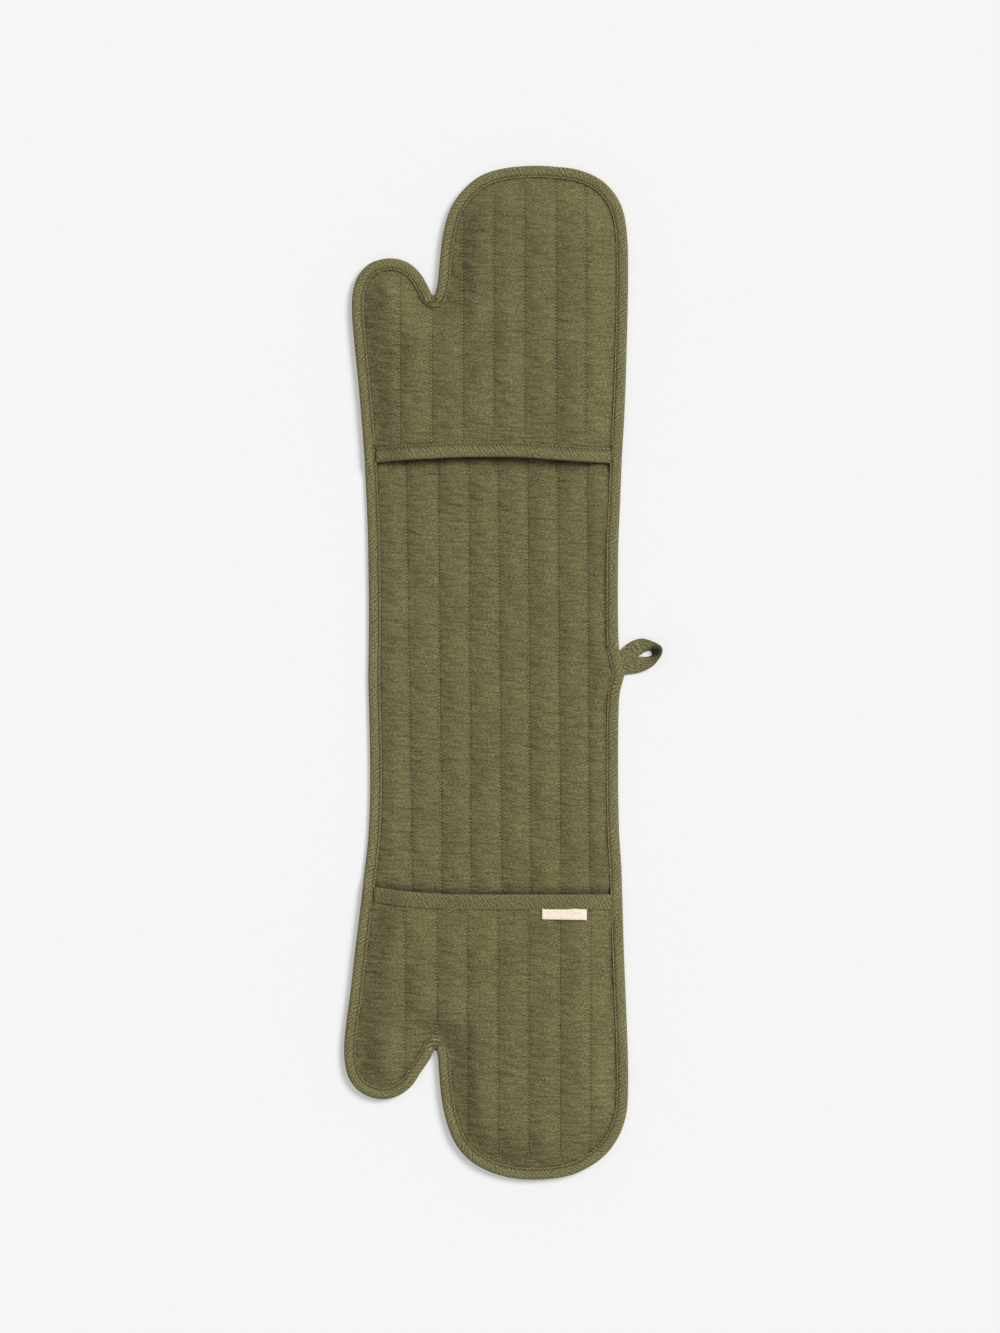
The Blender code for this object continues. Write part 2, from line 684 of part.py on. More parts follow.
def build_half(half, cloth, wadding, lining, thread, base_pivot):
    """The pieces of one half: its plies, its bindings and its rows of stitches."""
    plan = half.inner + half.ring
    half.sheet("back_cloth", plan, half.band_levels, 0, cloth, base_pivot)
    half.sheet("band_wadding", plan, half.band_levels, 2, wadding, base_pivot)
    half.sheet("band_face", plan, half.band_levels, 4, cloth, base_pivot)
    half.edge_binding(cloth, base_pivot)
    half.edge_stitching(thread, base_pivot)
    half.seam_allowance(lining, base_pivot)
    half.quilting_rows(
        "band_row", half.levels_of_band, lambda line: line[0].y, PUFF_RUN / 2, thread, base_pivot
    )
    pivot = mitt_pivot(half)
    half.sheet("mitt_lining", half.front, half.front_levels, 0, lining, pivot)
    half.sheet("mitt_wadding", half.front, half.front_levels, 2, wadding, pivot)
    half.sheet("mitt_face", half.front, half.front_levels, 4, cloth, pivot)
    half.mouth_binding(cloth, pivot)
    half.mouth_stitching(thread, pivot)
    half.quilting_rows(
        "mitt_row",
        half.levels_of_front,
        lambda line: half.mouth_at(line[0].x) + MOUTH_BINDING_WIDTH,
        2 * THREAD_WIDTH,
        thread,
        pivot,
    )


def build():
    """Makes every piece of the glove."""
    clear_scene()
    upper = Half("upper", 1, UPPER_HALF_LENGTH, UPPER_MITT_LENGTH, UPPER_MOUTH_ARCH, UPPER_SHARES)
    lower = Half("lower", -1, LOWER_HALF_LENGTH, LOWER_MITT_LENGTH, LOWER_MOUTH_ARCH, LOWER_SHARES)
    set_origins(upper, lower)
    cloth = textile("olive_twill", "6e6947", 0.9)
    wadding = textile("cotton_wadding", "e6e0d0", 1.0)
    lining = textile("olive_lining", "67633f", 0.9)
    thread = textile("olive_thread", "807b56", 0.8)
    label = textile("cream_label", "ece0cc", 0.7)
    fold = Vector((0, -upper.origin.y, BAND_HEIGHT))
    for half, base_pivot in ((upper, Vector((0, 0, 0))), (lower, fold)):
        half.make_plan()
        build_half(half, cloth, wadding, lining, thread, base_pivot)
    lower.label(label, mitt_pivot(lower))
    root = loop_frame(upper)[0]
    sections = [[upper.place(point, z) for point, z in section] for section in loop_sections(upper)]
    lofted("hanging_loop", sections, cloth, upper.place(root, LOOP_FLOOR + LOOP_TAPE))


build()
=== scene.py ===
# %% [markdown]
# # A double oven glove
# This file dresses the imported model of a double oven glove: one long quilted band with a
# mitt pocket at each end, tape round every edge, rows of stitches, a label and a loop.
# The glove lies on a pale floor with its pockets up, as it does in the photograph.
# Lengths are in metres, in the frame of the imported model, with Z up and the glove along Y.

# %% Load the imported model
import json
import math

import bmesh
import bpy
import numpy as np
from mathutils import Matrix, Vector, noise
from mathutils.geometry import delaunay_2d_cdt


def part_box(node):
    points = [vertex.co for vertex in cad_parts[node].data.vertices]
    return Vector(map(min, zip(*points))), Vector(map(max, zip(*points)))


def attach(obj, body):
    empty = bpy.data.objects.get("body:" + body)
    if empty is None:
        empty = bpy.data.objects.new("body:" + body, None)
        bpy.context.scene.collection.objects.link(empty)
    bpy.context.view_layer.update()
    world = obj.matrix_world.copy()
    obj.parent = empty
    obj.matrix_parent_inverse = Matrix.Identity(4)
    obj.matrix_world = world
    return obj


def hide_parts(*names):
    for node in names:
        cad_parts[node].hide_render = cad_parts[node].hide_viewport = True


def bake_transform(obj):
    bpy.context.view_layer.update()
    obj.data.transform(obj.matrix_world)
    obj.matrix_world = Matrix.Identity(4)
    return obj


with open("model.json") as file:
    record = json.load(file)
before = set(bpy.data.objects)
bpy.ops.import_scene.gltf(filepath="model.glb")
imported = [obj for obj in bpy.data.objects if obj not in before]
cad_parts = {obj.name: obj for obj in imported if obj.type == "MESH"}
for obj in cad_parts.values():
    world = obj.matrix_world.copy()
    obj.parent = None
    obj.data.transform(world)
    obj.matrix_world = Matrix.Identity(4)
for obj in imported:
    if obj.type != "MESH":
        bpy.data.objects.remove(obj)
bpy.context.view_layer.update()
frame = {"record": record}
JOINTS = {joint["name"]: joint for joint in frame["record"]["behaviour"]["joints"]}
FOLD_Y = JOINTS["centre_fold"]["pos_m"][1]

# %% [markdown]
# ## The cutting pattern
# A glove like this is cut from one pattern. Each half runs from the fold line in the middle
# to a fingertip. The places across are shares of half the waist's width, and the places along
# are shares of the band's or the mitt's length, so the pattern reads like a paper one.
# A smooth curve through a few points gives a better edge than many points typed by hand.

# %% Sizes and the pattern's points
HALF_WAIST = 0.10625
# The waist's middle lies this far to the left of the model's own middle
MIDDLE_X = 0.008733
FOLD_GAP = 0.0003
TAPE_WIDTH = 0.0100
SEAM_INSET = 0.0083
# The tape across a mouth is folded wider than the tape round the edge
WIDER = 1.24
MOUTH_TAPE = TAPE_WIDTH * WIDER
# From one row of quilting to the next
PITCH = 0.0255

HALVES = {
    "upper": {
        "direction": 1, "band": 0.1877, "mitt": 0.2478, "arch": 0.0043,
        "right": [
            (1.043, 0.0), (1.050, 0.015), (1.009, 0.131), (1.002, 0.196), (0.998, 0.355),
            (1.002, 0.604), (1.017, 0.808), (1.030, 1.0),
        ],
        "hand": [
            (1.030, 0.0), (1.050, 0.146), (1.066, 0.334), (1.080, 0.626), (1.066, 0.787),
            (1.010, 0.878), (0.878, 0.947), (0.694, 0.985), (0.478, 0.998), (0.270, 1.0),
            (0.054, 0.989), (-0.106, 0.965), (-0.242, 0.916), (-0.338, 0.856),
            (-0.396, 0.777), (-0.423, 0.695), (-0.439, 0.616), (-0.448, 0.588),
        ],
        "notch": (-0.475, 0.544),
        "thumb": [
            (-0.522, 0.587), (-0.578, 0.628), (-0.666, 0.664), (-0.770, 0.681),
            (-0.882, 0.681), (-0.998, 0.662), (-1.082, 0.621), (-1.123, 0.568),
            (-1.131, 0.499), (-1.114, 0.403), (-1.079, 0.252), (-1.051, 0.115),
            (-1.031, 0.0),
        ],
        "left": [(-1.031, 1.0), (-1.014, 0.808), (-1.002, 0.626), (-0.995, 0.264), (-1.0, 0.0)],
        "mouth": [
            (-0.914, 1.0), (-0.746, 0.6), (-0.426, 0.2), (-0.266, 0.0), (0.214, 0.0),
            (0.534, 0.6), (0.910, 1.12),
        ],
    },
    "lower": {
        "direction": -1, "band": 0.1836, "mitt": 0.2422, "arch": 0.0060,
        "right": [
            (1.043, 0.0), (1.018, 0.054), (1.006, 0.114), (1.0, 0.332), (1.006, 0.679),
            (1.026, 0.878), (1.033, 1.0),
        ],
        "hand": [
            (1.033, 0.0), (1.046, 0.196), (1.070, 0.459), (1.080, 0.617), (1.075, 0.740),
            (1.050, 0.799), (0.998, 0.855), (0.910, 0.909), (0.790, 0.951), (0.630, 0.984),
            (0.438, 0.999), (0.230, 1.0), (0.054, 0.986), (-0.090, 0.961), (-0.210, 0.925),
            (-0.314, 0.866), (-0.380, 0.789), (-0.416, 0.708), (-0.435, 0.617),
            (-0.440, 0.578),
        ],
        "notch": (-0.458, 0.534),
        "thumb": [
            (-0.506, 0.578), (-0.578, 0.624), (-0.658, 0.675), (-0.762, 0.707),
            (-0.874, 0.719), (-0.994, 0.710), (-1.090, 0.684), (-1.155, 0.645),
            (-1.187, 0.592), (-1.193, 0.529), (-1.175, 0.448), (-1.146, 0.353),
            (-1.107, 0.203), (-1.075, 0.090), (-1.051, 0.0),
        ],
        "left": [
            (-1.051, 1.0), (-1.034, 0.911), (-1.002, 0.749), (-0.987, 0.563),
            (-0.986, 0.355), (-1.0, 0.0),
        ],
        "mouth": [(-0.938, 1.0), (-0.746, 0.54), (-0.506, 0.19), (-0.266, 0.03), (0.910, 0.0)],
    },
}


# %% A smooth curve through the points
def travelled(path):
    """How far along a path each of its points is."""
    return np.r_[0, np.cumsum(np.linalg.norm(np.diff(path, axis=0), axis=1))]


def smooth_path(points, step):
    """Even points, about one step apart, on a smooth curve through these points."""
    points = np.array(points, float)
    reach = travelled(points)
    slopes = np.empty_like(points)
    for i in range(len(points)):
        before, after = max(i - 1, 0), min(i + 1, len(points) - 1)
        slopes[i] = (points[after] - points[before]) / (reach[after] - reach[before])
    at = np.linspace(0, reach[-1], max(2, round(reach[-1] / step)) + 1)
    i = np.clip(np.searchsorted(reach, at, side="right") - 1, 0, len(points) - 2)
    span = (reach[i + 1] - reach[i])[:, None]
    t = (at - reach[i])[:, None] / span
    return (
        points[i] * (2 * t**3 - 3 * t**2 + 1) + slopes[i] * span * (t**3 - 2 * t**2 + t)
        + points[i + 1] * (3 * t**2 - 2 * t**3) + slopes[i + 1] * span * (t**3 - t**2)
    )


def round_notch(before, corner, after, radius=0.0015, steps=8):
    """An arc in place of the notch's sharp corner."""
    before, corner, after = (Vector(point) for point in (before, corner, after))
    back, onward = (before - corner).normalized(), (after - corner).normalized()
    half = back.angle(onward) / 2
    centre = corner + (back + onward).normalized() * radius / math.sin(half)
    first = corner + back * radius / math.tan(half) - centre
    last = corner + onward * radius / math.tan(half) - centre
    start = math.atan2(first.y, first.x)
    turn = math.atan2(last.y, last.x) - start
    turn -= math.tau * round(turn / math.tau)
    angles = [start + turn * k / steps for k in range(steps + 1)]
    return [centre + radius * Vector((math.cos(angle), math.sin(angle))) for angle in angles]


def on_half(half, points):
    """Plan points of one half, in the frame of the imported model."""
    points = np.array(points, float)
    y = half["direction"] * (points[:, 1] + FOLD_GAP / 2) + FOLD_Y
    return np.c_[points[:, 0] - MIDDLE_X, y]


# %% The whole outline, anticlockwise as seen from above
def band_points(half, shares):
    """Places beside the band on one half's plan, from the pattern's shares."""
    return [(across * HALF_WAIST, along * half["band"]) for across, along in shares]


def mitt_points(half, shares):
    """Places round the mitt on one half's plan, from the pattern's shares."""
    return [(across * HALF_WAIST, half["band"] + along * half["mitt"])
            for across, along in shares]


def notch_corner(half):
    """The sharp corner between a half's hand and its thumb, on its plan."""
    return mitt_points(half, [half["notch"]])[0]


def half_outline(half, step=0.0025):
    """One half's outer edge on its plan, from the fold line round to the fold line."""
    right = smooth_path(band_points(half, half["right"]), step)
    hand = smooth_path(mitt_points(half, half["hand"]), step)
    thumb = smooth_path(mitt_points(half, half["thumb"]), step)
    left = smooth_path(band_points(half, half["left"]), step)
    notch = round_notch(hand[-1], notch_corner(half), thumb[0])
    return np.vstack([right[:-1], hand, notch, thumb[:-1], left])


for half in HALVES.values():
    half["outline"] = half_outline(half)
upper_edge = on_half(HALVES["upper"], HALVES["upper"]["outline"])
lower_edge = on_half(HALVES["lower"], HALVES["lower"]["outline"])[::-1]
OUTLINE = np.vstack([upper_edge, lower_edge])
print("outline of", len(OUTLINE), "points")

# %% [markdown]
# ## Reading the plan
# Every height of the glove depends on two things: how far a place is from the bound edge, and
# how far it is from the nearest row of quilting. They could be drawn into the mesh by hand.
# Here two functions measure them for many places at a time, so the cloths, tapes and
# stitches all agree on where the surface is.


# %% Distances and places on the plan
def smoothstep(t):
    """A soft rise from 0 to 1."""
    t = np.clip(t, 0, 1)
    return t * t * (3 - 2 * t)


def inset(path, distance):
    """A closed path moved inwards, square to itself."""
    onward = np.roll(path, -1, 0) - path
    onward /= np.maximum(np.linalg.norm(onward, axis=1), 1e-9)[:, None]
    along = onward + np.roll(onward, 1, 0)
    along /= np.linalg.norm(along, axis=1)[:, None]
    # At a sharp corner the step is held to the distance divided by 0.6
    stretch = np.clip((along * onward).sum(1), 0.6, 1)
    return path + np.c_[-along[:, 1], along[:, 0]] * (distance / stretch)[:, None]


def distance_to_edge(points):
    """How far each place on the plan is from the glove's outer edge."""
    best = np.full(len(points), np.inf)
    for a, b in zip(OUTLINE, np.roll(OUTLINE, -1, 0)):
        run = b - a
        length = run @ run
        if length > 0:
            t = np.clip((points - a) @ run / length, 0, 1)
            gap = points - a - t[:, None] * run
            best = np.minimum(best, np.einsum("ij,ij->i", gap, gap))
    return np.sqrt(best)


def inside(points, polygon):
    """Which places on the plan lie inside a closed path."""
    result = np.zeros(len(points), bool)
    x, y = points[:, 0], points[:, 1]
    for a, b in zip(polygon, np.roll(polygon, -1, 0)):
        if a[1] != b[1]:
            crosses = (a[1] > y) != (b[1] > y)
            result ^= crosses & (x < (b[0] - a[0]) * (y - a[1]) / (b[1] - a[1]) + a[0])
    return result


# %% Rows of quilting
# Seven rows run the whole length of each panel. The band's lean a little, so their places
# across are given at two places along it.
BAND_ROWS = {
    0.1723: [-0.0834, -0.0561, -0.0300, -0.0051, 0.0200, 0.0455, 0.0705],
    -0.1762: [-0.0782, -0.0531, -0.0285, -0.0021, 0.0225, 0.0480, 0.0727],
}
MITT_ROWS = {
    "upper": [-0.0885, -0.0613, -0.0349, -0.0088, 0.0175, 0.0441, 0.0694],
    "lower": [-0.0840, -0.0571, -0.0312, -0.0052, 0.0208, 0.0476, 0.0735],
}


def row_places(panel, y):
    """The x of each row of quilting at these places along a panel, one column for a row."""
    y = np.atleast_1d(y)
    if panel != "band":
        return np.tile(MITT_ROWS[panel], (len(y), 1))
    (top, first), (bottom, last) = BAND_ROWS.items()
    share = (top - y) / (top - bottom)
    return np.array(first) + share[:, None] * (np.array(last) - np.array(first))


def beside_row(panel, points):
    """How far each place is to the right of the row of stitches nearest to it."""
    gaps = points[:, :1] - row_places(panel, points[:, 1])
    return gaps[np.arange(len(gaps)), np.abs(gaps).argmin(1)]


def channel(panel, points):
    """How far across its channel each place is: 0 on a row of stitches and 1 midway."""
    return np.clip(np.abs(beside_row(panel, points)) / (PITCH / 2), 0, 1)


def mouth_y(name, x):
    """Where a mitt's mouth edge lies, at these places across, in the model's frame."""
    half = HALVES[name]
    across, dip = np.array(half["mouth"]).T
    curve = smooth_path(np.c_[across * HALF_WAIST, half["band"] - dip * half["arch"]], 0.01)
    along = np.interp(np.asarray(x) + MIDDLE_X, curve[:, 0], curve[:, 1])
    return half["direction"] * (along + FOLD_GAP / 2) + FOLD_Y


def past_mouth(name, points):
    """How far each place lies beyond a mitt's mouth, towards the fingertip."""
    return HALVES[name]["direction"] * (points[:, 1] - mouth_y(name, points[:, 0]))


# %% Heights of the panels
CLOTH = 0.0006
# The leg of a tape that lies under a panel's edge
LEG = 0.0009
# The height of the band's upper face in a seam, and what it gains midway between two
PRESSED_BAND = 0.0034
BAND_PUFF = 0.0022
# The thickness of a mitt front in a seam, and what it gains midway between two
PRESSED_MITT = 0.0025
MITT_PUFF = 0.0028
# How far two cloths lie apart at rest, and how high the empty pocket stands in its middle
PLAY = 0.0003
POCKET = 0.0062
# How far the pocket, the band and the mitt take to rise from the edge tape, and the mitt to
# rise from its mouth
DOME_RUN = 0.0310
PUFF_RUN = 0.0120
MITT_RUN = 0.0220
MOUTH_RUN = 0.0240
# How deep the seams are drawn into the band's under side
UNDER_GROOVE = 0.0016
# Open cloth starts just inside the tape
FIELD = TAPE_WIDTH + PLAY
# How long and how wide the fine cross wrinkles and the broad ones are
FINE_WRINKLE = (0.016, 0.005)
BROAD_WRINKLE = (0.04, 0.03)


def pillow(t):
    """The section of a padded channel: steep beside the stitches, broad on top."""
    return 1 - (1 - t) ** 2.0


def band_heights(points):
    """The under and upper faces of the band's quilted panel."""
    rise = smoothstep((distance_to_edge(points) - FIELD) / PUFF_RUN)
    puff = rise * pillow(channel("band", points))
    under = LEG * (1 - rise) + UNDER_GROOVE * (rise - puff)
    return under, PRESSED_BAND + BAND_PUFF * puff


def mitt_heights(name, points):
    """The under and upper faces of a mitt's quilted front."""
    from_edge = np.maximum(distance_to_edge(points) - FIELD, 0)
    full = smoothstep(from_edge / MITT_RUN)
    beyond = smoothstep((past_mouth(name, points) - LEG - MOUTH_TAPE) / MOUTH_RUN)
    puff = np.minimum(full, beyond) * pillow(channel(name, points))
    low = PRESSED_BAND + BAND_PUFF * full + PLAY + POCKET * smoothstep(from_edge / DOME_RUN)
    low += LEG * (np.maximum(full, 1 - beyond) - puff)
    return low, low + PRESSED_MITT + MITT_PUFF * puff


def crinkle(points, seed):
    """Small cross wrinkles, mostly from -1 to 1, as stitching draws up in cloth."""
    (long, short), (broad, tall) = FINE_WRINKLE, BROAD_WRINKLE
    fine = [noise.noise(Vector((x / long, y / short, seed))) for x, y in points]
    wide = [noise.noise(Vector((x / broad, y / tall, seed + 7))) for x, y in points]
    return np.array(fine) + 0.5 * np.array(wide)


# %% [markdown]
# ## Colour and cloth
# The glove is cotton twill dyed olive. A twill is woven with its threads stepping sideways,
# which gives fine slanting ribs, and dyed cotton varies a little from thread to thread.
# The look could come from a photograph of cloth, but nodes that draw the weave in real
# millimetres stay sharp and can be changed.


# %% Helpers for materials
def linear(hex_colour):
    """A colour written as sRGB hex, as the linear values that the shader wants."""
    channels = [int(hex_colour[i:i + 2], 16) / 255 for i in (0, 2, 4)]
    return [c / 12.92 if c <= 0.04045 else ((c + 0.055) / 1.055) ** 2.4 for c in channels] + [1]


def add(tree, kind, values=None, links=None, **settings):
    """Adds a shader node, with its settings, the values of its sockets and its links."""
    node = tree.nodes.new("ShaderNode" + kind)
    for name, value in settings.items():
        setattr(node, name, value)
    for socket, value in (values or {}).items():
        node.inputs[socket].default_value = value
    for socket, source in (links or {}).items():
        tree.links.new(source, node.inputs[socket])
    return node


def twill_ribs(tree, mm, rib_mm, rib_along):
    """Ribs from -1 to 1, rib_mm apart and square to rib_along."""
    # A little wander, over about 11 mm, keeps the ribs from looking ruled
    wander = add(tree, "TexNoise", {"Scale": 0.09, "Detail": 3}, {"Vector": mm.outputs[0]})
    across = add(tree, "VectorMath", {1: (*rib_along, 0)}, {0: mm.outputs[0]},
                 operation="DOT_PRODUCT")
    bent = add(tree, "Math", {1: 2.5 * rib_mm},
               {0: wander.outputs[0], 2: across.outputs["Value"]}, operation="MULTIPLY_ADD")
    turns = add(tree, "Math", {1: math.tau / rib_mm}, {0: bent.outputs[0]}, operation="MULTIPLY")
    rib = add(tree, "Math", {}, {0: turns.outputs[0]}, operation="SINE")
    # The ribs fade in and out over about 6 mm, as they do on washed cloth
    patch = add(tree, "TexNoise", {"Scale": 0.16, "Detail": 2}, {"Vector": mm.outputs[0]})
    clear = add(tree, "MapRange", {1: 0.38, 2: 0.62, 3: 0.15, 4: 1.0}, {0: patch.outputs[0]})
    return add(tree, "Math", {}, {0: rib.outputs[0], 1: clear.outputs[0]}, operation="MULTIPLY")


def flecks(tree, mm, size_mm, values):
    """Uneven flecks, as long and as wide as size_mm says."""
    stretch = add(tree, "VectorMath", {1: (1 / size_mm[0], 1 / size_mm[1], 1)},
                  {0: mm.outputs[0]}, operation="MULTIPLY")
    return add(tree, "TexNoise", {"Scale": 1, **values}, {"Vector": stretch.outputs[0]})


def woven(name, dark, base, pale, rib_mm, rib_shade, fleck_mm, contrast=0.105,
          rib_along=(0.6, -0.8), roughness=0.92, rib_height=0.3, crease_height=0.0, streak=0.0):
    """Matt woven cotton, drawn in millimetres of the piece's own UV map.

    The ribs are rib_mm apart and square to rib_along, the thread flecks are fleck_mm long and
    wide, and the whole range from dark to pale takes twice the contrast.
    """
    material = bpy.data.materials.new(name)
    material.use_nodes = True
    tree = material.node_tree
    shader = tree.nodes["Principled BSDF"]
    shader.inputs["Roughness"].default_value = roughness
    shader.inputs["Specular IOR Level"].default_value = 0.25
    shader.inputs["Sheen Weight"].default_value = 0.08
    shader.inputs["Sheen Roughness"].default_value = 0.6
    uv = add(tree, "UVMap", uv_map="cloth")
    mm = add(tree, "VectorMath", {1: (1000, 1000, 1000)}, {0: uv.outputs[0]}, operation="MULTIPLY")
    ribs = twill_ribs(tree, mm, rib_mm, rib_along)
    fleck = flecks(tree, mm, fleck_mm, {"Detail": 3, "Roughness": 0.7})
    ribbed = add(tree, "Math", {1: rib_shade * 0.12}, {0: ribs.outputs[0], 2: fleck.outputs[0]},
                 operation="MULTIPLY_ADD")
    # Thicker weft threads show as faint streaks, 11 mm long and 2.2 mm wide
    slub = flecks(tree, mm, (11, 2.2), {"Detail": 2})
    streaked = add(tree, "Mix", {0: streak}, {2: ribbed.outputs[0], 3: slub.outputs[0]})
    # Washed cloth is a little cloudy, over about 33 mm
    cloud = add(tree, "TexNoise", {"Scale": 0.03, "Detail": 3}, {"Vector": mm.outputs[0]})
    mixed = add(tree, "Mix", {0: 0.1}, {2: streaked.outputs[0], 3: cloud.outputs[0]})
    ramp = add(tree, "ValToRGB", {}, {0: mixed.outputs[0]})
    stops = ramp.color_ramp.elements
    stops[0].position, stops[0].color = 0.5 - contrast, linear(dark)
    stops[1].position, stops[1].color = 0.5 + contrast, linear(pale)
    middle = stops.new(0.5)
    middle.color = linear(base)
    # Painted shade: the fold attribute darkens the colour in needle holes, seams and creases
    fold = add(tree, "Attribute", attribute_name="fold")
    painted_shade_colour = add(tree, "VectorMath", {}, {0: ramp.outputs[0], "Scale": fold.outputs["Fac"]},
               operation="SCALE")
    tree.links.new(painted_shade_colour.outputs[0], shader.inputs["Base Color"])
    relief = add(tree, "Math", {1: 0.6}, {0: ribs.outputs[0], 2: fleck.outputs[0]},
                 operation="MULTIPLY_ADD")
    bump = add(tree, "Bump", {"Strength": rib_height, "Distance": 0.0005},
               {"Height": relief.outputs[0]})
    if crease_height:
        # Cross wrinkles, 16 mm long and 5 mm wide, that stitching draws up in the cloth
        crease = flecks(tree, mm, (16, 5), {"Detail": 2, "Roughness": 0.45, "Distortion": 0.4})
        creases = add(tree, "Bump", {"Strength": crease_height, "Distance": 0.0040},
                      {"Height": crease.outputs[0]})
        tree.links.new(creases.outputs[0], bump.inputs["Normal"])
    tree.links.new(bump.outputs[0], shader.inputs["Normal"])
    return material


# %% The cloths of the glove
# Cotton twill, piece dyed and washed: a matt olive with short flecks along the weft.
# The real ribs are 0.6 mm apart; 1.9 mm is as fine as the picture shows.
twill = woven("olive_cotton_twill", "4b482c", "69643f", "868258", 1.9, 0.35, (1.9, 0.9),
              crease_height=0.75, streak=0.20)
# The same twill cut on the slant and folded to tape, so its ribs cross the tape.
tape_cloth = woven("olive_bias_tape", "54502e", "726c46", "918b62", 2.7, 0.8, (0.9, 1.8),
                   rib_along=(0.80, 0.60), rib_height=0.28)
# Spun polyester sewing thread, a little paler and smoother than the cloth.
thread = woven("olive_sewing_thread", "7d7850", "969168", "aba57c", 0.9, 0.5, (0.8, 0.8),
               roughness=0.7)
# Satin-woven label tape in cream, bare.
satin = woven("cream_satin_label", "e2d5c0", "f1e4d0", "fbf0de", 0.8, 0.5, (2.0, 0.7),
              roughness=0.6, rib_height=0.1)
print("materials:", twill.name, tape_cloth.name, thread.name, satin.name)


# %% Helpers for meshes
def new_piece(name, verts, faces, uvs, material, fold=None):
    """A smooth mesh object at the origin, with its own UV map in metres of cloth.

    fold is the painted shade, the light each point's colour keeps: 1 on open cloth and less down in
    a crease.
    """
    mesh = bpy.data.meshes.new(name)
    mesh.from_pydata([tuple(v) for v in verts], [], [tuple(int(i) for i in f) for f in faces])
    layer = mesh.uv_layers.new(name="cloth")
    loops = np.empty(len(mesh.loops), np.int32)
    mesh.loops.foreach_get("vertex_index", loops)
    layer.data.foreach_set("uv", np.asarray(uvs, float)[loops].ravel())
    shade = mesh.attributes.new("fold", "FLOAT", "POINT")
    shade.data.foreach_set("value", np.ones(len(verts)) if fold is None else np.ravel(fold))
    mesh.materials.append(material)
    mesh.shade_smooth()
    mesh.validate()
    obj = bpy.data.objects.new(name, mesh)
    bpy.context.collection.objects.link(obj)
    return obj


def run(obj, operator, **settings):
    """Runs one of Blender's operators on this object alone."""
    bpy.ops.object.select_all(action="DESELECT")
    obj.select_set(True)
    bpy.context.view_layer.objects.active = obj
    return operator(**settings)


def turn_outwards(obj, join=False):
    """Turns every face of a closed piece outwards, and joins flat triangles first if asked."""
    bm = bmesh.new()
    bm.from_mesh(obj.data)
    if join:
        bmesh.ops.join_triangles(bm, faces=bm.faces, angle_face_threshold=0.7,
                                 angle_shape_threshold=0.7, cmp_uvs=False)
    bmesh.ops.recalc_face_normals(bm, faces=bm.faces)
    bm.to_mesh(obj.data)
    bm.free()


def ribbon(name, sections, uvs, material, closed, fold=None):
    """A piece drawn through closed sections, each a ring of as many points."""
    count, ring = len(sections), len(sections[0])
    verts = np.vstack(sections)
    faces = []
    for i in range(count if closed else count - 1):
        j = (i + 1) % count
        for k in range(ring):
            n = (k + 1) % ring
            faces.append((i * ring + k, i * ring + n, j * ring + n, j * ring + k))
    if not closed:
        faces.append(range(ring - 1, -1, -1))
        faces.append(range((count - 1) * ring, count * ring))
    shades = fold if fold is None or len(fold) == len(verts) else np.tile(fold, count)
    obj = new_piece(name, verts, faces, np.vstack(uvs), material, shades)
    turn_outwards(obj)
    return obj


# %% [markdown]
# ## The quilted panels
# A panel is two cloths with wadding between them, sewn through in rows before it is cut out.
# Between two rows it swells, and it is pressed flat where tape closes its edge.
# It could be one flat slab with a bump map, but the swelling catches the light from the side,
# so it is made in the mesh. The plan is a fine net whose columns follow the rows of quilting,
# so every groove has points of its own.


# %% The net of a panel
# Places across one channel, from its row of stitches to the next: close beside the stitches
COLUMNS = [0, 0.035, 0.08, 0.145, 0.235, 0.36, 0.5, 0.64, 0.765, 0.855, 0.92, 0.965]
# The net starts and ends this many channels outside the outermost rows
SPARE = 3


def plan_net(panel, border, row_step=0.0025, clear=0.0011):
    """Points and faces of a flat panel inside a border, in columns along the quilting."""
    low, high = border.min(0), border.max(0)
    ys = np.arange(low[1], high[1], row_step)
    rows = row_places(panel, ys)
    at = np.array([k + share for k in range(-SPARE, rows.shape[1] + SPARE - 1)
                   for share in COLUMNS])
    known = np.r_[-SPARE, np.arange(rows.shape[1]), rows.shape[1] + SPARE - 1]
    points = []
    for y, xs in zip(ys, rows):
        wide = np.r_[xs[0] - PITCH * SPARE, xs, xs[-1] + PITCH * SPARE]
        points.append(np.c_[np.interp(at, known, wide), np.full(len(at), y)])
    points = np.vstack(points)
    points = points[(points[:, 0] > low[0]) & (points[:, 0] < high[0])]
    points = points[inside(points, inset(border, clear))]
    bonds = [(i, (i + 1) % len(border)) for i in range(len(border))]
    found = delaunay_2d_cdt([Vector(p) for p in np.vstack([border, points])], bonds, [], 0, 1e-6)
    places = np.array([tuple(p) for p in found[0]])
    faces = np.array([f for f in found[2] if len(f) == 3])
    return places, faces[inside(places[faces].mean(1), border)]


def close_panel(name, places, faces, under, upper, material, fold=None):
    """A closed panel from its plan and the points of its under and upper faces.

    fold holds the painted shade, the light kept by the points of the under face, then of the upper
    one.
    """
    count = len(places)
    edges = {edge for a, b, c in faces for edge in ((a, b), (b, c), (c, a))}
    walls = [(b, a, a + count, b + count) for a, b in edges if (b, a) not in edges]
    skins = [tuple(f[::-1]) for f in faces] + [tuple(f + count) for f in faces]
    obj = new_piece(name, np.vstack([under, upper]), skins + walls, np.vstack([places, places]),
                    material, fold)
    turn_outwards(obj, join=True)
    return obj


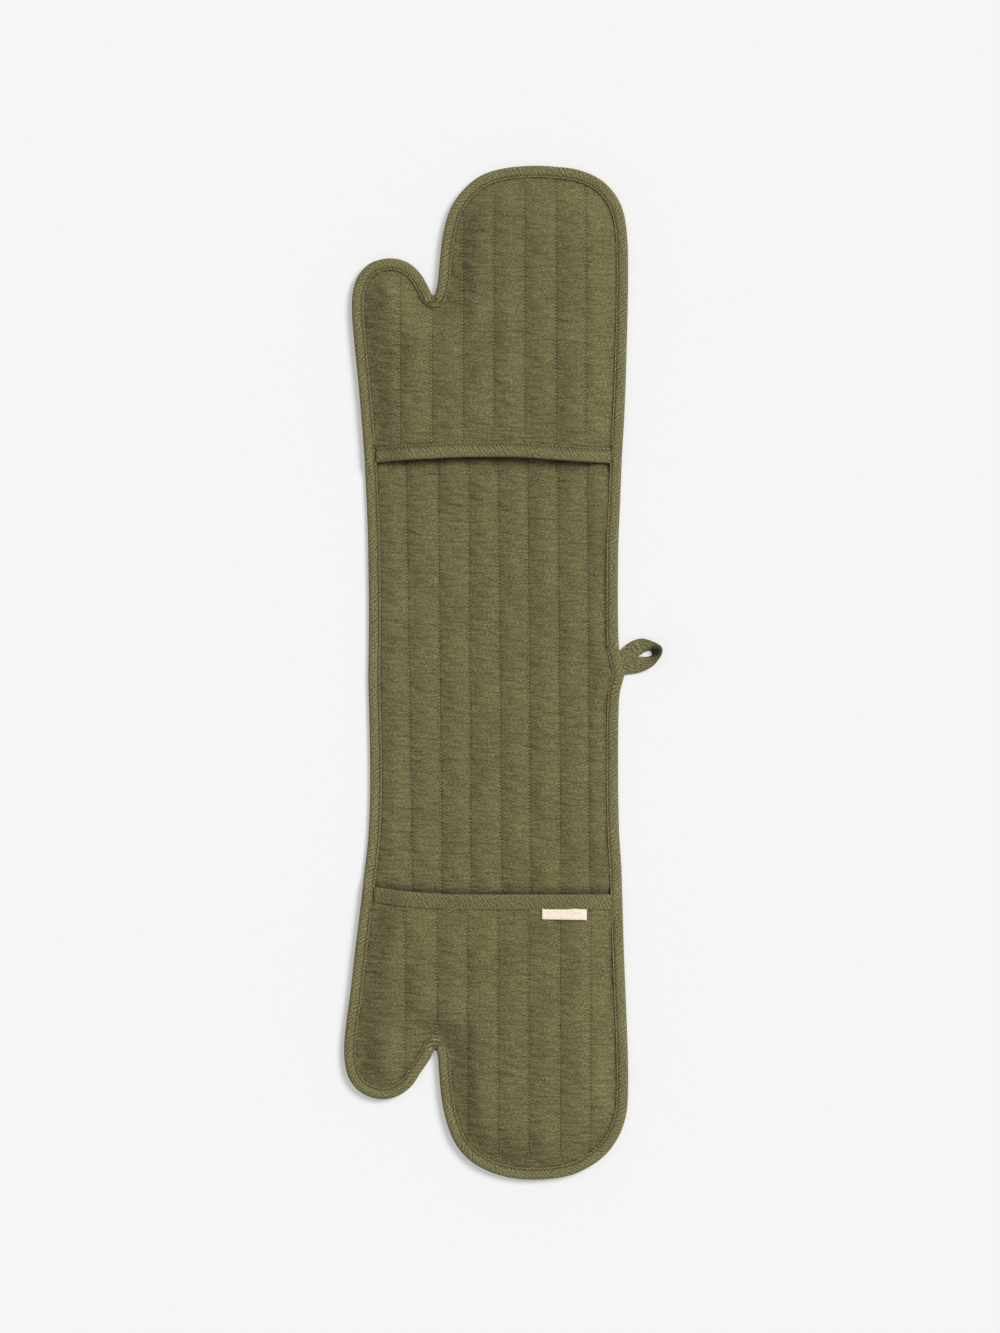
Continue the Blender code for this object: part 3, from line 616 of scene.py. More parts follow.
# %% Letting a panel settle
def settle(places, faces, under, upper, sewn, most=0.0012, frames=8):
    """Lets a panel swell and pucker between its seams, and gives both faces afterwards.

    The cloth grows by about a hundredth, as it does against thread that draws it up, and it
    is held where it is sewn. No point moves further than the given most.
    """
    start = np.vstack([under, upper])
    pad = close_panel("settling_panel", places, faces, under, upper, twill)
    group = pad.vertex_groups.new(name="sewn")
    group.add([int(i) for i in np.flatnonzero(np.r_[sewn, sewn])], 1.0, "REPLACE")
    cloth = pad.modifiers.new("settle", "CLOTH")
    how = cloth.settings
    how.quality = 3
    how.mass = 0.3
    how.tension_stiffness = how.compression_stiffness = 15
    how.shear_stiffness = 5
    how.bending_stiffness = 0.3
    how.use_pressure = True
    how.uniform_pressure_force = 4
    how.shrink_min = how.shrink_max = -0.010
    how.vertex_group_mass = "sewn"
    how.effector_weights.gravity = 0
    cloth.collision_settings.use_collision = False
    cloth.point_cache.frame_end = frames
    for number in range(1, frames + 1):
        bpy.context.scene.frame_set(number)
    run(pad, bpy.ops.object.modifier_apply, modifier=cloth.name)
    move = np.array([v.co for v in pad.data.vertices]) - start
    bpy.data.objects.remove(pad)
    bpy.context.scene.frame_set(1)
    reach = np.linalg.norm(move, axis=1)[:, None]
    move *= np.minimum(1, most / np.maximum(reach, 1e-9))
    print("settled by up to", round(float(reach.max()) * 1000, 2), "mm")
    return np.split(start + move, 2)


# %% Shade painted into the seams
def near(distance, reach):
    """1 at no distance, fading away over this reach."""
    return np.exp(-(distance / reach) ** 2)


def lost(distance, crease):
    """The light lost to painted shade at this distance from a crease, which takes a share over a
    reach.
    """
    share, reach = crease
    return share * near(distance, reach)


# Each crease's painted shade: the share of light it takes at its deepest, and how far it reaches
IN_SEAM = (0.55, 0.0007)
BESIDE_TAPE = (0.50, 0.0010)
BESIDE_MOUTH_TAPE = {"upper": (0.5, 0.0009), "lower": (0.2, 0.0009)}
BELOW_MOUTH = {"upper": (0.62, 0.0028), "lower": (0.60, 0.0046)}
SEAM_ON_BACK = (0.35, 0.0022)
# A seam's painted shade is darkest just right of its stitches, where the cloth turns from the lamp
SHADE_SIDE = 0.0003


def painted_seam_shade(panel, places):
    """How much light the cloth keeps under painted shade: least in a seam and where a tape lies
    over it.
    """
    kept = 1 - lost(beside_row(panel, places) - SHADE_SIDE, IN_SEAM)
    kept = kept - lost(distance_to_edge(places) - TAPE_WIDTH, BESIDE_TAPE)
    if panel == "band":
        return kept
    return kept * (1 - lost(past_mouth(panel, places) - MOUTH_TAPE, BESIDE_MOUTH_TAPE[panel]))


def painted_mouth_shadow(places):
    """How much light the band's upper face keeps under the shadow painted beside the two mouths."""
    kept = np.ones(len(places))
    for name, crease in BELOW_MOUTH.items():
        kept *= 1 - lost(past_mouth(name, places), crease)
    return kept


# %% Sewing a panel
# The cut edge of a panel lies inside the tape
CUT_INSET = 0.0012
# How high the wrinkles stand on the band, on a mitt and on the under side of either
BAND_WRINKLE = 0.00024
MITT_WRINKLE = 0.00026
UNDER_WRINKLE = 0.0001
# The thread holds this share of a channel, beside each row of stitches
THREAD_SHARE = 0.03


def sew_panel(panel, plan, heights, loose, wrinkle, seed):
    """The under and upper faces of a panel, wrinkled where it is loose, sewn and settled."""
    places, faces = plan
    low, high = heights
    high = high + wrinkle * crinkle(places, seed) * loose
    low = low - UNDER_WRINKLE * crinkle(places, seed + 1) * loose
    sewn = (channel(panel, places) < THREAD_SHARE) | (distance_to_edge(places) < FIELD)
    if panel != "band":
        sewn |= past_mouth(panel, places) < LEG + MOUTH_TAPE
    return settle(places, faces, np.c_[places, low], np.c_[places, high], sewn)


# %% The band, from fingertip to fingertip
# The settled cloth stays this far above the floor
FLOOR_GAP = 0.00002
places, faces = plan_net("band", inset(OUTLINE, CUT_INSET))
low, high = band_heights(places)
swell = (high - PRESSED_BAND) / BAND_PUFF
under, upper = sew_panel("band", (places, faces), (low, high), swell, BAND_WRINKLE, 1.0)
under[:, 2] = np.maximum(under[:, 2], FLOOR_GAP)
# Painted shade in the seams, wider on the back, and a painted shadow beside the mouths on top
shade = painted_seam_shade("band", places)
under_shade = shade * (1 - lost(beside_row("band", places), SEAM_ON_BACK))
shade = np.r_[under_shade, shade * painted_mouth_shadow(places)]
band = close_panel("band_quilt", places, faces, under, upper, twill, shade)
print("band of", len(band.data.polygons), "faces")


# %% [markdown]
# ## The mitt fronts
# Each mitt has a second quilted panel on top, open at the mouth, which makes the pocket.
# One closed panel would do for a glove at rest. Its face and its lining are made as two
# cloths, because they lift by different amounts when the pocket opens, while both stay sewn
# down at the rim.


# %% The two cloths of each mitt front
# Points along the mouth
MOUTH_POINTS = 90


def mitt_border(name):
    """The border of a mitt's front: the pressed edge, closed along the mouth."""
    half = HALVES[name]
    edge = inset(OUTLINE, CUT_INSET)
    beyond = past_mouth(name, edge) > LEG
    start = int(np.argmax(beyond & ~np.roll(beyond, 1)))
    run_of_edge = np.roll(edge, -start, 0)[:beyond.sum()]
    xs = np.linspace(run_of_edge[-1][0], run_of_edge[0][0], MOUTH_POINTS)
    mouth = np.c_[xs, mouth_y(name, xs) + half["direction"] * LEG]
    return np.vstack([run_of_edge, mouth])


mitts = {}
for name in HALVES:
    places, faces = plan_net(name, mitt_border(name))
    loose = smoothstep((distance_to_edge(places) - FIELD) / PUFF_RUN)
    under, upper = sew_panel(name, (places, faces), mitt_heights(name, places), loose,
                             MITT_WRINKLE, 3.0)
    ply = np.array([0, 0, CLOTH])
    # Painted shade in the seams and beside the tapes, the same on both cloths
    shade = np.tile(painted_seam_shade(name, places), 2)
    face = close_panel(f"{name}_mitt_cloth", places, faces, upper - ply, upper, twill, shade)
    lining = close_panel(f"{name}_mitt_lining_cloth", places, faces, under, under + ply, twill,
                         shade)
    mitts[name] = (face, lining)
    print(name, "mitt front of", len(face.data.polygons), "faces")

# %% [markdown]
# ## The tape round the edge
# The raw edges of the plies are closed by a strip of the same cloth, cut on the slant so that
# it bends round curves, folded over the edge and sewn through near its inner side.
# A curve with a bevel would give an even tape. Here its section is drawn once and a loop
# carries it round the whole outline, so it can climb onto the mitts and gather in the notches.


# %% The height of the tape
# Low along the band, and higher round a mitt, where it closes more plies
TAPE_LOW = 0.0043
TAPE_CLIMB = 0.0028
# It starts to climb this far before a mouth, and takes this far to climb
CLIMB_BEFORE = 0.0110
CLIMB_RUN = 0.0107


def edge_height(points):
    """The height of the tape's upper side at these places on the outline."""
    climb = np.zeros(len(points))
    for name in HALVES:
        share = (past_mouth(name, points) + CLIMB_BEFORE) / CLIMB_RUN
        climb = np.maximum(climb, smoothstep(share))
    return TAPE_LOW + TAPE_CLIMB * climb


# %% The section of the tape
TAPE_SECTION = [
    # inwards from the edge, share of the height, what is added to it, and the light it keeps,
    # painted: shade below 1, a highlight on the lip above 1
    (0.0096, 0, 0.00005, 1), (0.0050, 0, 0.0, 1), (0.0013, 0, 0.0, 1), (0.0004, 0.06, 0.0, 1),
    (0.0, 0.45, 0.0, 1), (0.0003, 0.82, 0.0, 1), (0.0011, 0.98, 0.0, 1), (0.0026, 1, 0.00022, 1),
    (0.0046, 1, 0.00026, 1), (0.0064, 1, 0.00006, 1), (0.0076, 1, -0.00016, 0.78),
    (0.0083, 1, -0.00042, 0.25), (0.0089, 1, -0.00030, 0.9), (0.0096, 1, -0.00004, 1.12),
    (0.0101, 1, -0.00030, 0.8), (0.0099, 1, -0.00062, 0.4), (0.0087, 1, -0.00088, 0.5),
    (0.0060, 1, -0.00060, 1), (0.0026, 1, -0.00050, 1), (0.0011, 0.80, 0.0, 1),
    (0.0007, 0.45, 0.0, 1), (0.0012, 0.14, 0.0, 1), (0.0050, 0, 0.0006, 1), (0.0096, 0, 0.0006, 1),
]


def distance_round(section, height):
    """How far round a tape of this height each corner of its section is."""
    reach = [0.0]
    for (s, h, z, _), (s2, h2, z2, _) in zip(section, section[1:]):
        reach.append(reach[-1] + math.hypot(s2 - s, (h2 - h) * height + z2 - z))
    return reach


MEAN_HEIGHT = 0.0055
reach = distance_round(TAPE_SECTION, MEAN_HEIGHT)
print("the edge tape's section is", round(reach[-1] * 1000, 1), "mm round, inside and out")

# %% The crease in each notch
# How far the crease reaches along the edge, how deep it is and the share of light its painted shade
# takes
CREASE_REACH = 0.0002
CREASE_DEPTH = 0.0016
CREASE_LOSS = 0.85
# Inwards it is full up to here, and then runs out before the seam
CREASE_FULL = 0.003
CREASE_RUN = 0.005
pinch = np.zeros(len(OUTLINE))
for half in HALVES.values():
    tip = on_half(half, [notch_corner(half)])[0]
    gaps = np.linalg.norm(OUTLINE - tip, axis=1)
    pinch += near(gaps - gaps.min(), CREASE_REACH)
inwards = np.array([corner[0] for corner in TAPE_SECTION])
crease = 1 - smoothstep((inwards - CREASE_FULL) / CREASE_RUN)
print("creased at", int((pinch > 0.5).sum()), "points of the outline")

# %% The tape, carried round the outline
along = travelled(OUTLINE)
insets = {s: inset(OUTLINE, s) for s in inwards}
top = edge_height(OUTLINE)
# Ripples 11 mm long and bulges 35 mm long, of which the seam and the lip keep a share
ripple = np.array([noise.noise(Vector((a / 0.011, 0.0, 5.0))) for a in along])
bulge = np.array([noise.noise(Vector((a / 0.035, 3.0, 5.0))) for a in along])
uneven = 0.00013 * ripple + 0.00010 * bulge
SEWN_SHARE = 0.3
sections, uvs = [], []
for i in range(len(OUTLINE)):
    ring = []
    for (s, h, z, _), deep in zip(TAPE_SECTION, crease):
        x, y = insets[s][i]
        soft = uneven[i] * h * (1 if s < SEAM_INSET else SEWN_SHARE)
        ring.append((x, y, h * (top[i] - CREASE_DEPTH * pinch[i] * deep) + z + soft))
    sections.append(ring)
    uvs.append([(along[i], r) for r in reach])
# Painted shade in the notch creases and the section's seam, and a painted highlight on its lip
kept = (1 - CREASE_LOSS * np.outer(pinch, crease)) * [corner[3] for corner in TAPE_SECTION]
edge_tape = ribbon("edge_tape", sections, uvs, tape_cloth, closed=True, fold=kept.ravel())

# %% [markdown]
# ## The tape across each mouth
# A wider strip of the same tape closes the mouth of each mitt front. It is folded over the
# front alone, so that the pocket stays open. Its section is drawn and carried in the same
# way, but the mouth is nearly straight, so the section keeps its direction all the way.

# %% The section of the mouth tape
MOUTH_SECTION = [
    # inwards from the mouth, share of the front's height, what is added to it, and its part
    (0.0096, 0, -0.0009, "lip"), (0.0050, 0, -0.0010, "tape"), (0.0014, 0, -0.0009, "tape"),
    (0.0002, 0, -0.0002, "tape"), (-0.0002, 0.5, 0.0, "tape"), (0.0002, 1, 0.0004, "tape"),
    (0.0013, 1, 0.0010, "tape"), (0.0034, 1, 0.0012, "tape"), (0.0058, 1, 0.0011, "tape"),
    (0.0076, 1, 0.0009, "beside"), (0.0084, 1, 0.0005, "seam"), (0.0092, 1, 0.0008, "beside"),
    (0.0100, 1, 0.0008, "lip"), (0.0101, 1, 0.0004, "lip"), (0.0094, 1, 0.0001, "lip"),
    (0.0060, 1, 0.0003, "tape"), (0.0020, 1, 0.0004, "tape"), (0.0009, 0.8, 0.0, "tape"),
    (0.0008, 0.2, 0.0, "tape"), (0.0030, 0, -0.0003, "tape"), (0.0096, 0, -0.0003, "lip"),
]
# The light that each part keeps, painted into its colour: shade on and beside the seam, and a
# highlight on the lower lip
MOUTH_LIGHT = {
    "upper": {"tape": 0.95, "beside": 0.75, "seam": 0.3, "lip": 0.95},
    "lower": {"tape": 0.84, "beside": 0.9, "seam": 0.6, "lip": 1.1},
}
# How far inside the panel's sides the tape ends, and how many sections it has
MOUTH_END = 0.0085
MOUTH_RINGS = 80


# %% Both mouth tapes
def mouth_tape(name):
    """The folded tape on a mitt's mouth, from one side of the edge tape to the other."""
    d = HALVES[name]["direction"]
    across = mitt_border(name)[-MOUTH_POINTS:, 0]
    xs = np.linspace(across.min() + MOUTH_END, across.max() - MOUTH_END, MOUTH_RINGS)
    base = np.c_[xs, mouth_y(name, xs)]
    section = [(s * WIDER, h, z, part) for s, h, z, part in MOUTH_SECTION]
    heights = [mitt_heights(name, base + np.array([0, d * max(s, LEG)]))
               for s, _, _, _ in section]
    reach = distance_round(section, PRESSED_MITT)
    rings, maps = [], []
    for i, (x, y) in enumerate(base):
        # Low waves, 9 mm long
        wave = 0.00012 * noise.noise(Vector((x / 0.009, y, 8.0)))
        ring = []
        for (s, h, z, _), (low, high) in zip(section, heights):
            ring.append((x, y + d * s, low[i] * (1 - h) + high[i] * h + z + wave * h))
        rings.append(ring)
        maps.append([(x, r * d) for r in reach])
    # Painted shade and highlight, part by part
    kept = [MOUTH_LIGHT[name][part] for _, _, _, part in section]
    print(name, "mouth tape", round(float(np.ptp(xs)), 3), "m long")
    return ribbon(f"{name}_mouth_tape", rings, maps, tape_cloth, closed=False, fold=kept)


mouth_tapes = {name: mouth_tape(name) for name in HALVES}

# %% [markdown]
# ## The hanging loop
# The loop is the same tape, folded to about 13 mm, bent round and caught under the edge tape.
# Its upper strand lies nearly flat and its tip stands up, so the inside of the bend shows.
# A strip bent by a curve would keep one width all round. Here the two edges of the tape are
# drawn as paths of their own, so it can twist as it turns.

# %% The way of the loop
# Inner edge out and down, outer edge out and down, in millimetres from the top of the root,
# then how far the outer edge stands up and how far the strand lies above the one under it
LOOP_STATIONS = [
    (-2.6, 15.8, -3.4, 2.6, 0, 1), (1.1, 14.8, 0.7, 0.9, 0, 1), (6.8, 12.0, 6.8, -2.7, 0.02, 1),
    (12.0, 10.0, 12.6, -4.9, 0.06, 0.9), (16.7, 8.4, 19.7, -5.4, 0.15, 0.7),
    (19.9, 6.8, 23.8, -4.1, 0.30, 0.4), (23.7, 5.9, 30.2, -0.3, 0.60, 0.1),
    (25.8, 7.2, 35.0, 4.1, 0.88, 0), (26.4, 8.9, 35.9, 7.5, 1, 0), (25.8, 10.6, 33.9, 12.0, 0.9, 0),
    (23.1, 11.0, 30.0, 16.1, 0.65, 0), (19.7, 10.5, 25.4, 19.6, 0.40, 0),
    (16.0, 9.6, 18.7, 21.8, 0.20, 0), (11.7, 9.3, 12.3, 22.9, 0.06, 0), (6.0, 9.7, 4.8, 22.6, 0, 0),
    (0.8, 9.5, 0.5, 22.3, 0, 0), (-3.9, 9.4, -4.6, 21.5, 0, 0),
]
# How high the lower strand lies, how much higher the outer edge stands at the tip, and how
# far the upper strand lies above the lower one
LOOP_LOW = 0.0015
LOOP_HIGH = 0.0085
STRAND = 0.0016
LOOP_POINTS = 90


def evenly(path):
    """The path in as many points as the loop has, so that two unequal edges can be joined."""
    path = smooth_path(path, 0.0005)
    at = np.linspace(0, len(path) - 1, LOOP_POINTS)
    return np.array([np.interp(at, range(len(path)), path[:, k]) for k in range(3)]).T


upper_half = HALVES["upper"]
root_shares = (upper_half["right"][2], upper_half["right"][1])
root, root_end = on_half(upper_half, band_points(upper_half, root_shares))
down = (root_end - root) / np.linalg.norm(root_end - root)
out = np.array([-down[1], down[0]])
inner, outer = [], []
for in_out, in_down, ex_out, ex_down, lift, over in LOOP_STATIONS:
    low = LOOP_LOW + STRAND * over
    inner.append([*(root + out * in_out / 1000 + down * in_down / 1000), low])
    outer.append([*(root + out * ex_out / 1000 + down * ex_down / 1000), low + LOOP_HIGH * lift])
inner, outer = evenly(inner), evenly(outer)
middle = (inner + outer) / 2
strand = travelled(middle)
print("loop of", round(strand[-1], 3), "m of tape")

# %% The tape of the loop
# Half the thickness of the folded tape
LOOP_HALF = 0.0006
# About how far apart the corners of its section are
CORNER_STEP = 0.0016
# Its section: the share across the tape, and how far above its middle in these halves
ACROSS = ((0.0, 0.0), (0.02, 0.8), (0.08, 1.0), (0.2, 1.0), (0.35, 1.1), (0.5, 1.15), (0.65, 1.1),
          (0.8, 1.0), (0.87, 0.6), (0.93, 1.0), (0.98, 0.8), (1.0, 0.0), (0.98, -0.8),
          (0.90, -0.9), (0.5, -0.95), (0.10, -0.9), (0.02, -0.8))
rings, maps, kept = [], [], []
for i in range(LOOP_POINTS):
    width = outer[i] - inner[i]
    up = np.cross(middle[min(i + 1, LOOP_POINTS - 1)] - middle[max(i - 1, 0)], width)
    up *= math.copysign(1, up[2]) / np.linalg.norm(up)
    share = i / (LOOP_POINTS - 1)
    # Shade is painted inside the bend, halfway round, and the tape is creased most on the strand
    # below
    at_tip = near(share - 0.5, 0.10)
    creased = 0.15 + 0.65 * near(share - 0.8, 0.13)
    ring = []
    for t, h in ACROSS:
        # Creases about 4.5 mm wide, which die out at the edges of the tape
        crease = creased * noise.noise(Vector((strand[i] / 0.0045 + 2 * t, t * 1.5, 9.0)))
        ring.append(inner[i] + width * t + up * LOOP_HALF * (h + crease * math.sin(math.pi * t)))
    rings.append(ring)
    maps.append([(k * CORNER_STEP, strand[i]) for k in range(len(ring))])
    kept += [1 - at_tip * min(0.88, 3 * (1 - t)) for t, h in ACROSS]
loop = ribbon("loop_tape", rings, maps, tape_cloth, closed=False, fold=kept)
print("loop tape", round(float(np.linalg.norm(width)), 4), "m wide at its end")

# %% [markdown]
# ## The label
# A short piece of satin tape lies across the lower mitt, with its upper end caught under the
# mouth tape. A flat box would cut into the quilting, so it is a net of points laid on the
# finished cloth, given its thickness by a modifier. It is left bare.


# %% Finding the surface of a finished piece
def surface_of(obj, places, under=False):
    """The height of a finished piece's upper or under side at these places on the plan."""
    side = -1 if under else 1
    heights = []
    for x, y in places:
        hit, spot, _, _ = obj.ray_cast(Vector((x, y, 0.1 * side)), Vector((0, 0, -side)))
        heights.append(spot.z if hit else 0.0)
    return np.array(heights)


# %% The bare label
LABEL = {"left": 0.0326, "right": 0.0706, "top": -0.1992, "length": 0.0102}
LABEL_WIDTH = LABEL["right"] - LABEL["left"]
LABEL_THICKNESS = 0.0005
# How much nearer to the fingertip its right end lies
LABEL_SLANT = 0.0007
# The share of its length that the tape still presses down, and how far the rest spans the
# channels instead of following them
CAUGHT = 0.35
SPAN = 0.6
us = np.linspace(0, 1, 40)
vs = np.linspace(0, 1, 12)
grid, maps = [], []
for v in vs:
    xs = LABEL["left"] + LABEL_WIDTH * us
    ys = LABEL["top"] - v * LABEL["length"] - LABEL_SLANT * us
    ground = surface_of(mitts["lower"][0], np.c_[xs, ys])
    free = float(smoothstep(v / CAUGHT))
    level = ground + SPAN * free * (ground.max() - ground)
    # It lies 0.3 mm above the cloth, and bows up where it is free
    lift = 0.0003 + free * (0.0002 + 0.0006 * math.sin(v * math.pi * 0.8))
    grid.append(np.c_[xs, ys, level + lift])
    maps.append(np.c_[xs, np.full(len(us), v * LABEL["length"])])
grid = np.array(grid)
cells = []
for j in range(len(vs) - 1):
    for i in range(len(us) - 1):
        a = j * len(us) + i
        cells.append((a, a + len(us), a + len(us) + 1, a + 1))
label = new_piece("bare_label", grid.reshape(-1, 3), cells, np.vstack(maps), satin)
run(label, bpy.ops.object.modifier_add, type="SOLIDIFY")
label.modifiers[0].thickness = LABEL_THICKNESS
label.modifiers[0].offset = 0
run(label, bpy.ops.object.modifier_apply, modifier=label.modifiers[0].name)
print("label", round(LABEL_WIDTH, 4), "m wide")

# %% [markdown]
# ## The stitches
# Lockstitch shows as a row of short dashes that sink into the cloth. A bump map could draw
# them, but each one catches the light, so one stitch is modelled and copied along every seam
# as its own small mesh.

# %% One stitch
# Half its length, width and height on open cloth. On the tapes the stitches sink deeper, so
# less of each one shows
ON_CLOTH = (0.00095, 0.00045, 0.00036)
ON_TAPE = (0.00078, 0.00030, 0.00028)
# From one stitch to the next, and how far a stitch's middle stands out of the cloth
STITCH_PITCH = 0.0029
STITCH_LIFT = 0.0001
bpy.ops.object.select_all(action="DESELECT")
bpy.ops.mesh.primitive_uv_sphere_add(segments=6, ring_count=4, radius=1, location=(0, 0, 0),
                                     rotation=(0, math.pi / 2, 0))
stitch = bpy.context.object
bpy.ops.object.transform_apply(rotation=True)
STITCH_VERTS = np.array([v.co for v in stitch.data.vertices])
STITCH_FACES = [tuple(p.vertices) for p in stitch.data.polygons]
bpy.data.objects.remove(stitch)
print("one stitch of", len(STITCH_FACES), "faces")


# %% Sewing
def sew(name, seams, cloth, under=False, size=ON_CLOTH, light=1.0):
    """Copies the stitch along each seam, on one side of a finished cloth.

    light is the share of it that they keep, as painted shade: one number, or a function of their
    places.
    """
    length, width, height = size
    lift = -STITCH_LIFT if under else STITCH_LIFT
    verts, faces, maps, kept = [], [], [], []
    count = 0
    for seam in seams:
        reach = travelled(seam)
        at = np.arange(STITCH_PITCH / 2, reach[-1], STITCH_PITCH)
        if len(at) == 0:
            continue
        ends = []
        for shift in (-length, length):
            spots = np.c_[np.interp(at + shift, reach, seam[:, 0]),
                          np.interp(at + shift, reach, seam[:, 1])]
            ends.append(np.c_[spots, surface_of(cloth, spots, under)])
        shades = light(spots) if callable(light) else np.full(len(spots), light)
        kept.append(np.repeat(shades, len(STITCH_VERTS)))
        for k, (a, b) in enumerate(zip(*ends)):
            onward = (b - a) / 2
            side = np.array([-onward[1], onward[0], 0])
            side /= max(np.linalg.norm(side), 1e-9)
            up = np.cross(onward / np.linalg.norm(onward), side)
            centre = (a + b) / 2 + up * lift
            verts.append(centre + STITCH_VERTS @ np.array([onward, side * width, up * height]))
            faces += [[i + count for i in face] for face in STITCH_FACES]
            maps.append(np.c_[STITCH_VERTS[:, 0] * length + at[k], STITCH_VERTS[:, 1] * width])
            count += len(STITCH_VERTS)
    obj = new_piece(name, np.vstack(verts), faces, np.vstack(maps), thread, np.hstack(kept))
    print(name, "has", len(verts), "stitches")
    return obj


# %% The quilting of a panel
# The stitches stop this far from the edge tape and from the tape across a mouth
CLEAR_OF_EDGE = 0.0006
CLEAR_OF_MOUTH = 0.0004


def quilting(panel, low_y, high_y, step=0.0013, fewest=5):
    """The rows of a panel between two places, kept to the cloth that the tape leaves bare.

    A stretch of fewer steps than this is left out.
    """
    seams = []
    ys = np.arange(low_y, high_y, step)
    rows = row_places(panel, ys)
    for k in range(rows.shape[1]):
        spots = np.c_[rows[:, k], ys]
        bare = inside(spots, OUTLINE) & (distance_to_edge(spots) > TAPE_WIDTH + CLEAR_OF_EDGE)
        if panel != "band":
            bare &= past_mouth(panel, spots) > MOUTH_TAPE + CLEAR_OF_MOUTH
        starts = np.flatnonzero(bare & ~np.r_[False, bare[:-1]])
        ends = np.flatnonzero(bare & ~np.r_[bare[1:], False])
        seams += [spots[a:b + 1] for a, b in zip(starts, ends) if b - a >= fewest]
    return seams


# %% Every seam
# The band's rows run this far in under a mitt, and a mitt's are looked for from this far
# before its mouth. Both kinds are looked for as far as the fingertips
ROWS_UNDER = 0.02
BEFORE_MOUTH = 0.01
TIP_Y = 0.43
# Where a mouth tape's seam ends, inside the tape's own ends, and how many points it has
SEAM_END = 0.001
SEAM_POINTS = 200
# The share of light kept by the thread round the edge, painted for the shade of its seam
EDGE_THREAD = 0.42
seam_line = inset(OUTLINE, SEAM_INSET)
edge_stitches = sew("edge_stitches", [np.vstack([seam_line, seam_line[:1]])], edge_tape,
                    size=ON_TAPE, light=EDGE_THREAD)
band_rows = quilting("band", mouth_y("lower", 0) - ROWS_UNDER, mouth_y("upper", 0) + ROWS_UNDER)
# The band's stitches take the shadow painted beside the mouths
band_stitches = sew("band_stitches", band_rows, band, light=painted_mouth_shadow)
under_rows = quilting("band", -TIP_Y, TIP_Y)
under_stitches = sew("under_stitches", under_rows, band, under=True)
mitt_stitches, mouth_stitches = {}, {}
for name, half in HALVES.items():
    d = half["direction"]
    ends = sorted((mouth_y(name, 0) - BEFORE_MOUTH * d, d * TIP_Y))
    mitt_stitches[name] = sew(f"{name}_mitt_stitches", quilting(name, *ends), mitts[name][0])
    sides = [corner.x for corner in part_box(f"{name}_mouth_binding")]
    xs = np.linspace(sides[0] + SEAM_END, sides[1] - SEAM_END, SEAM_POINTS)
    seam = np.c_[xs, mouth_y(name, xs) + d * SEAM_INSET * WIDER]
    mouth_stitches[name] = sew(f"{name}_mouth_stitches", [seam], mouth_tapes[name], size=ON_TAPE)

# %% [markdown]
# ## Putting the pieces in place of the imported nodes
# The real glove folds in the middle, and its mitt fronts lift off the palms. A cloth could be cut
# at the fold into two stiff pieces, but it would tear there. Here each piece stays whole: the
# imported nodes that it stands for are hidden and its place is baked into its mesh, and only the
# label and the loop are parented to bodies of their own.


def in_both_halves(*ends):
    """The names of the nodes that each half has one of."""
    return [f"{name}_{end}" for name in HALVES for end in ends]


def row_nodes(kind):
    """The ends of the names of seven rows of quilting."""
    return [f"{kind}_row_{k}" for k in range(1, 8)]


# %% The pieces that cross the fold
crossing = [
    (band, "olive_twill", in_both_halves("back_cloth", "band_wadding", "band_face")),
    (edge_tape, "olive_twill", in_both_halves("right_binding", "hand_binding", "thumb_binding")),
    (edge_stitches, "olive_thread", in_both_halves("edge_stitching")),
    (band_stitches, "olive_thread", in_both_halves(*row_nodes("band"))),
    (under_stitches, "olive_thread", []),
]
for obj, slot, nodes in crossing:
    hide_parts(*nodes)
    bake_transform(obj)
print(len(crossing), "pieces bend at the fold")

# %% The pieces of each mitt front
for name in HALVES:
    face, lining = mitts[name]
    tape = mouth_tapes[name]
    # Each piece, its slot, the nodes it stands for, and the heights between which it lifts
    lifting = [
        (face, "olive_twill", ["mitt_face", "mitt_wadding"], 0.0066, 0.0150),
        (lining, "olive_lining", ["mitt_lining", "mitt_seam_allowance"], 0.0040, 0.0115),
        (tape, "olive_twill", ["mouth_binding"], 0.0056, 0.0130),
        (mouth_stitches[name], "olive_thread", ["mouth_stitching"], 0.0062, 0.0140),
        (mitt_stitches[name], "olive_thread", row_nodes("mitt"), 0.0066, 0.0150),
    ]
    for obj, slot, nodes, start, end in lifting:
        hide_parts(*[f"{name}_{node}" for node in nodes])
        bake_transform(obj)
    for cloth, carrier in ((face, lining), (lining, band)):
        spots = np.array([v.co for v in cloth.data.vertices])
        width, length = np.ptp(spots[:, :2], axis=0)

# %% The label and the loop
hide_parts("woven_label")
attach(label, "lower_mitt_front")
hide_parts("hanging_loop")
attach(loop, "loop")
print("the label rides on the lower mitt front, and the loop on its own body")

# %% [markdown]
# ## Floor, light and camera
# The photograph looks straight down on the glove from far away, in soft light from the upper
# right. The world gives most of the light and one broad lamp gives the direction, so a colour
# renders about as it is written. The camera stands 8 m up with a long lens, which keeps
# the near and far parts of the glove the same size, as in the photograph.

# %% Floor
bpy.ops.object.select_all(action="DESELECT")
bpy.ops.mesh.primitive_plane_add(size=12, location=(0, 0, -0.0001))
floor = bpy.context.object
floor.name = "floor"
paper = bpy.data.materials.new("pale_paper_backdrop")
paper.use_nodes = True
tree = paper.node_tree
PAPER = linear("f6f6f6")
matt = tree.nodes["Principled BSDF"]
matt.inputs["Base Color"].default_value = PAPER
matt.inputs["Roughness"].default_value = 1
matt.inputs["Specular IOR Level"].default_value = 0
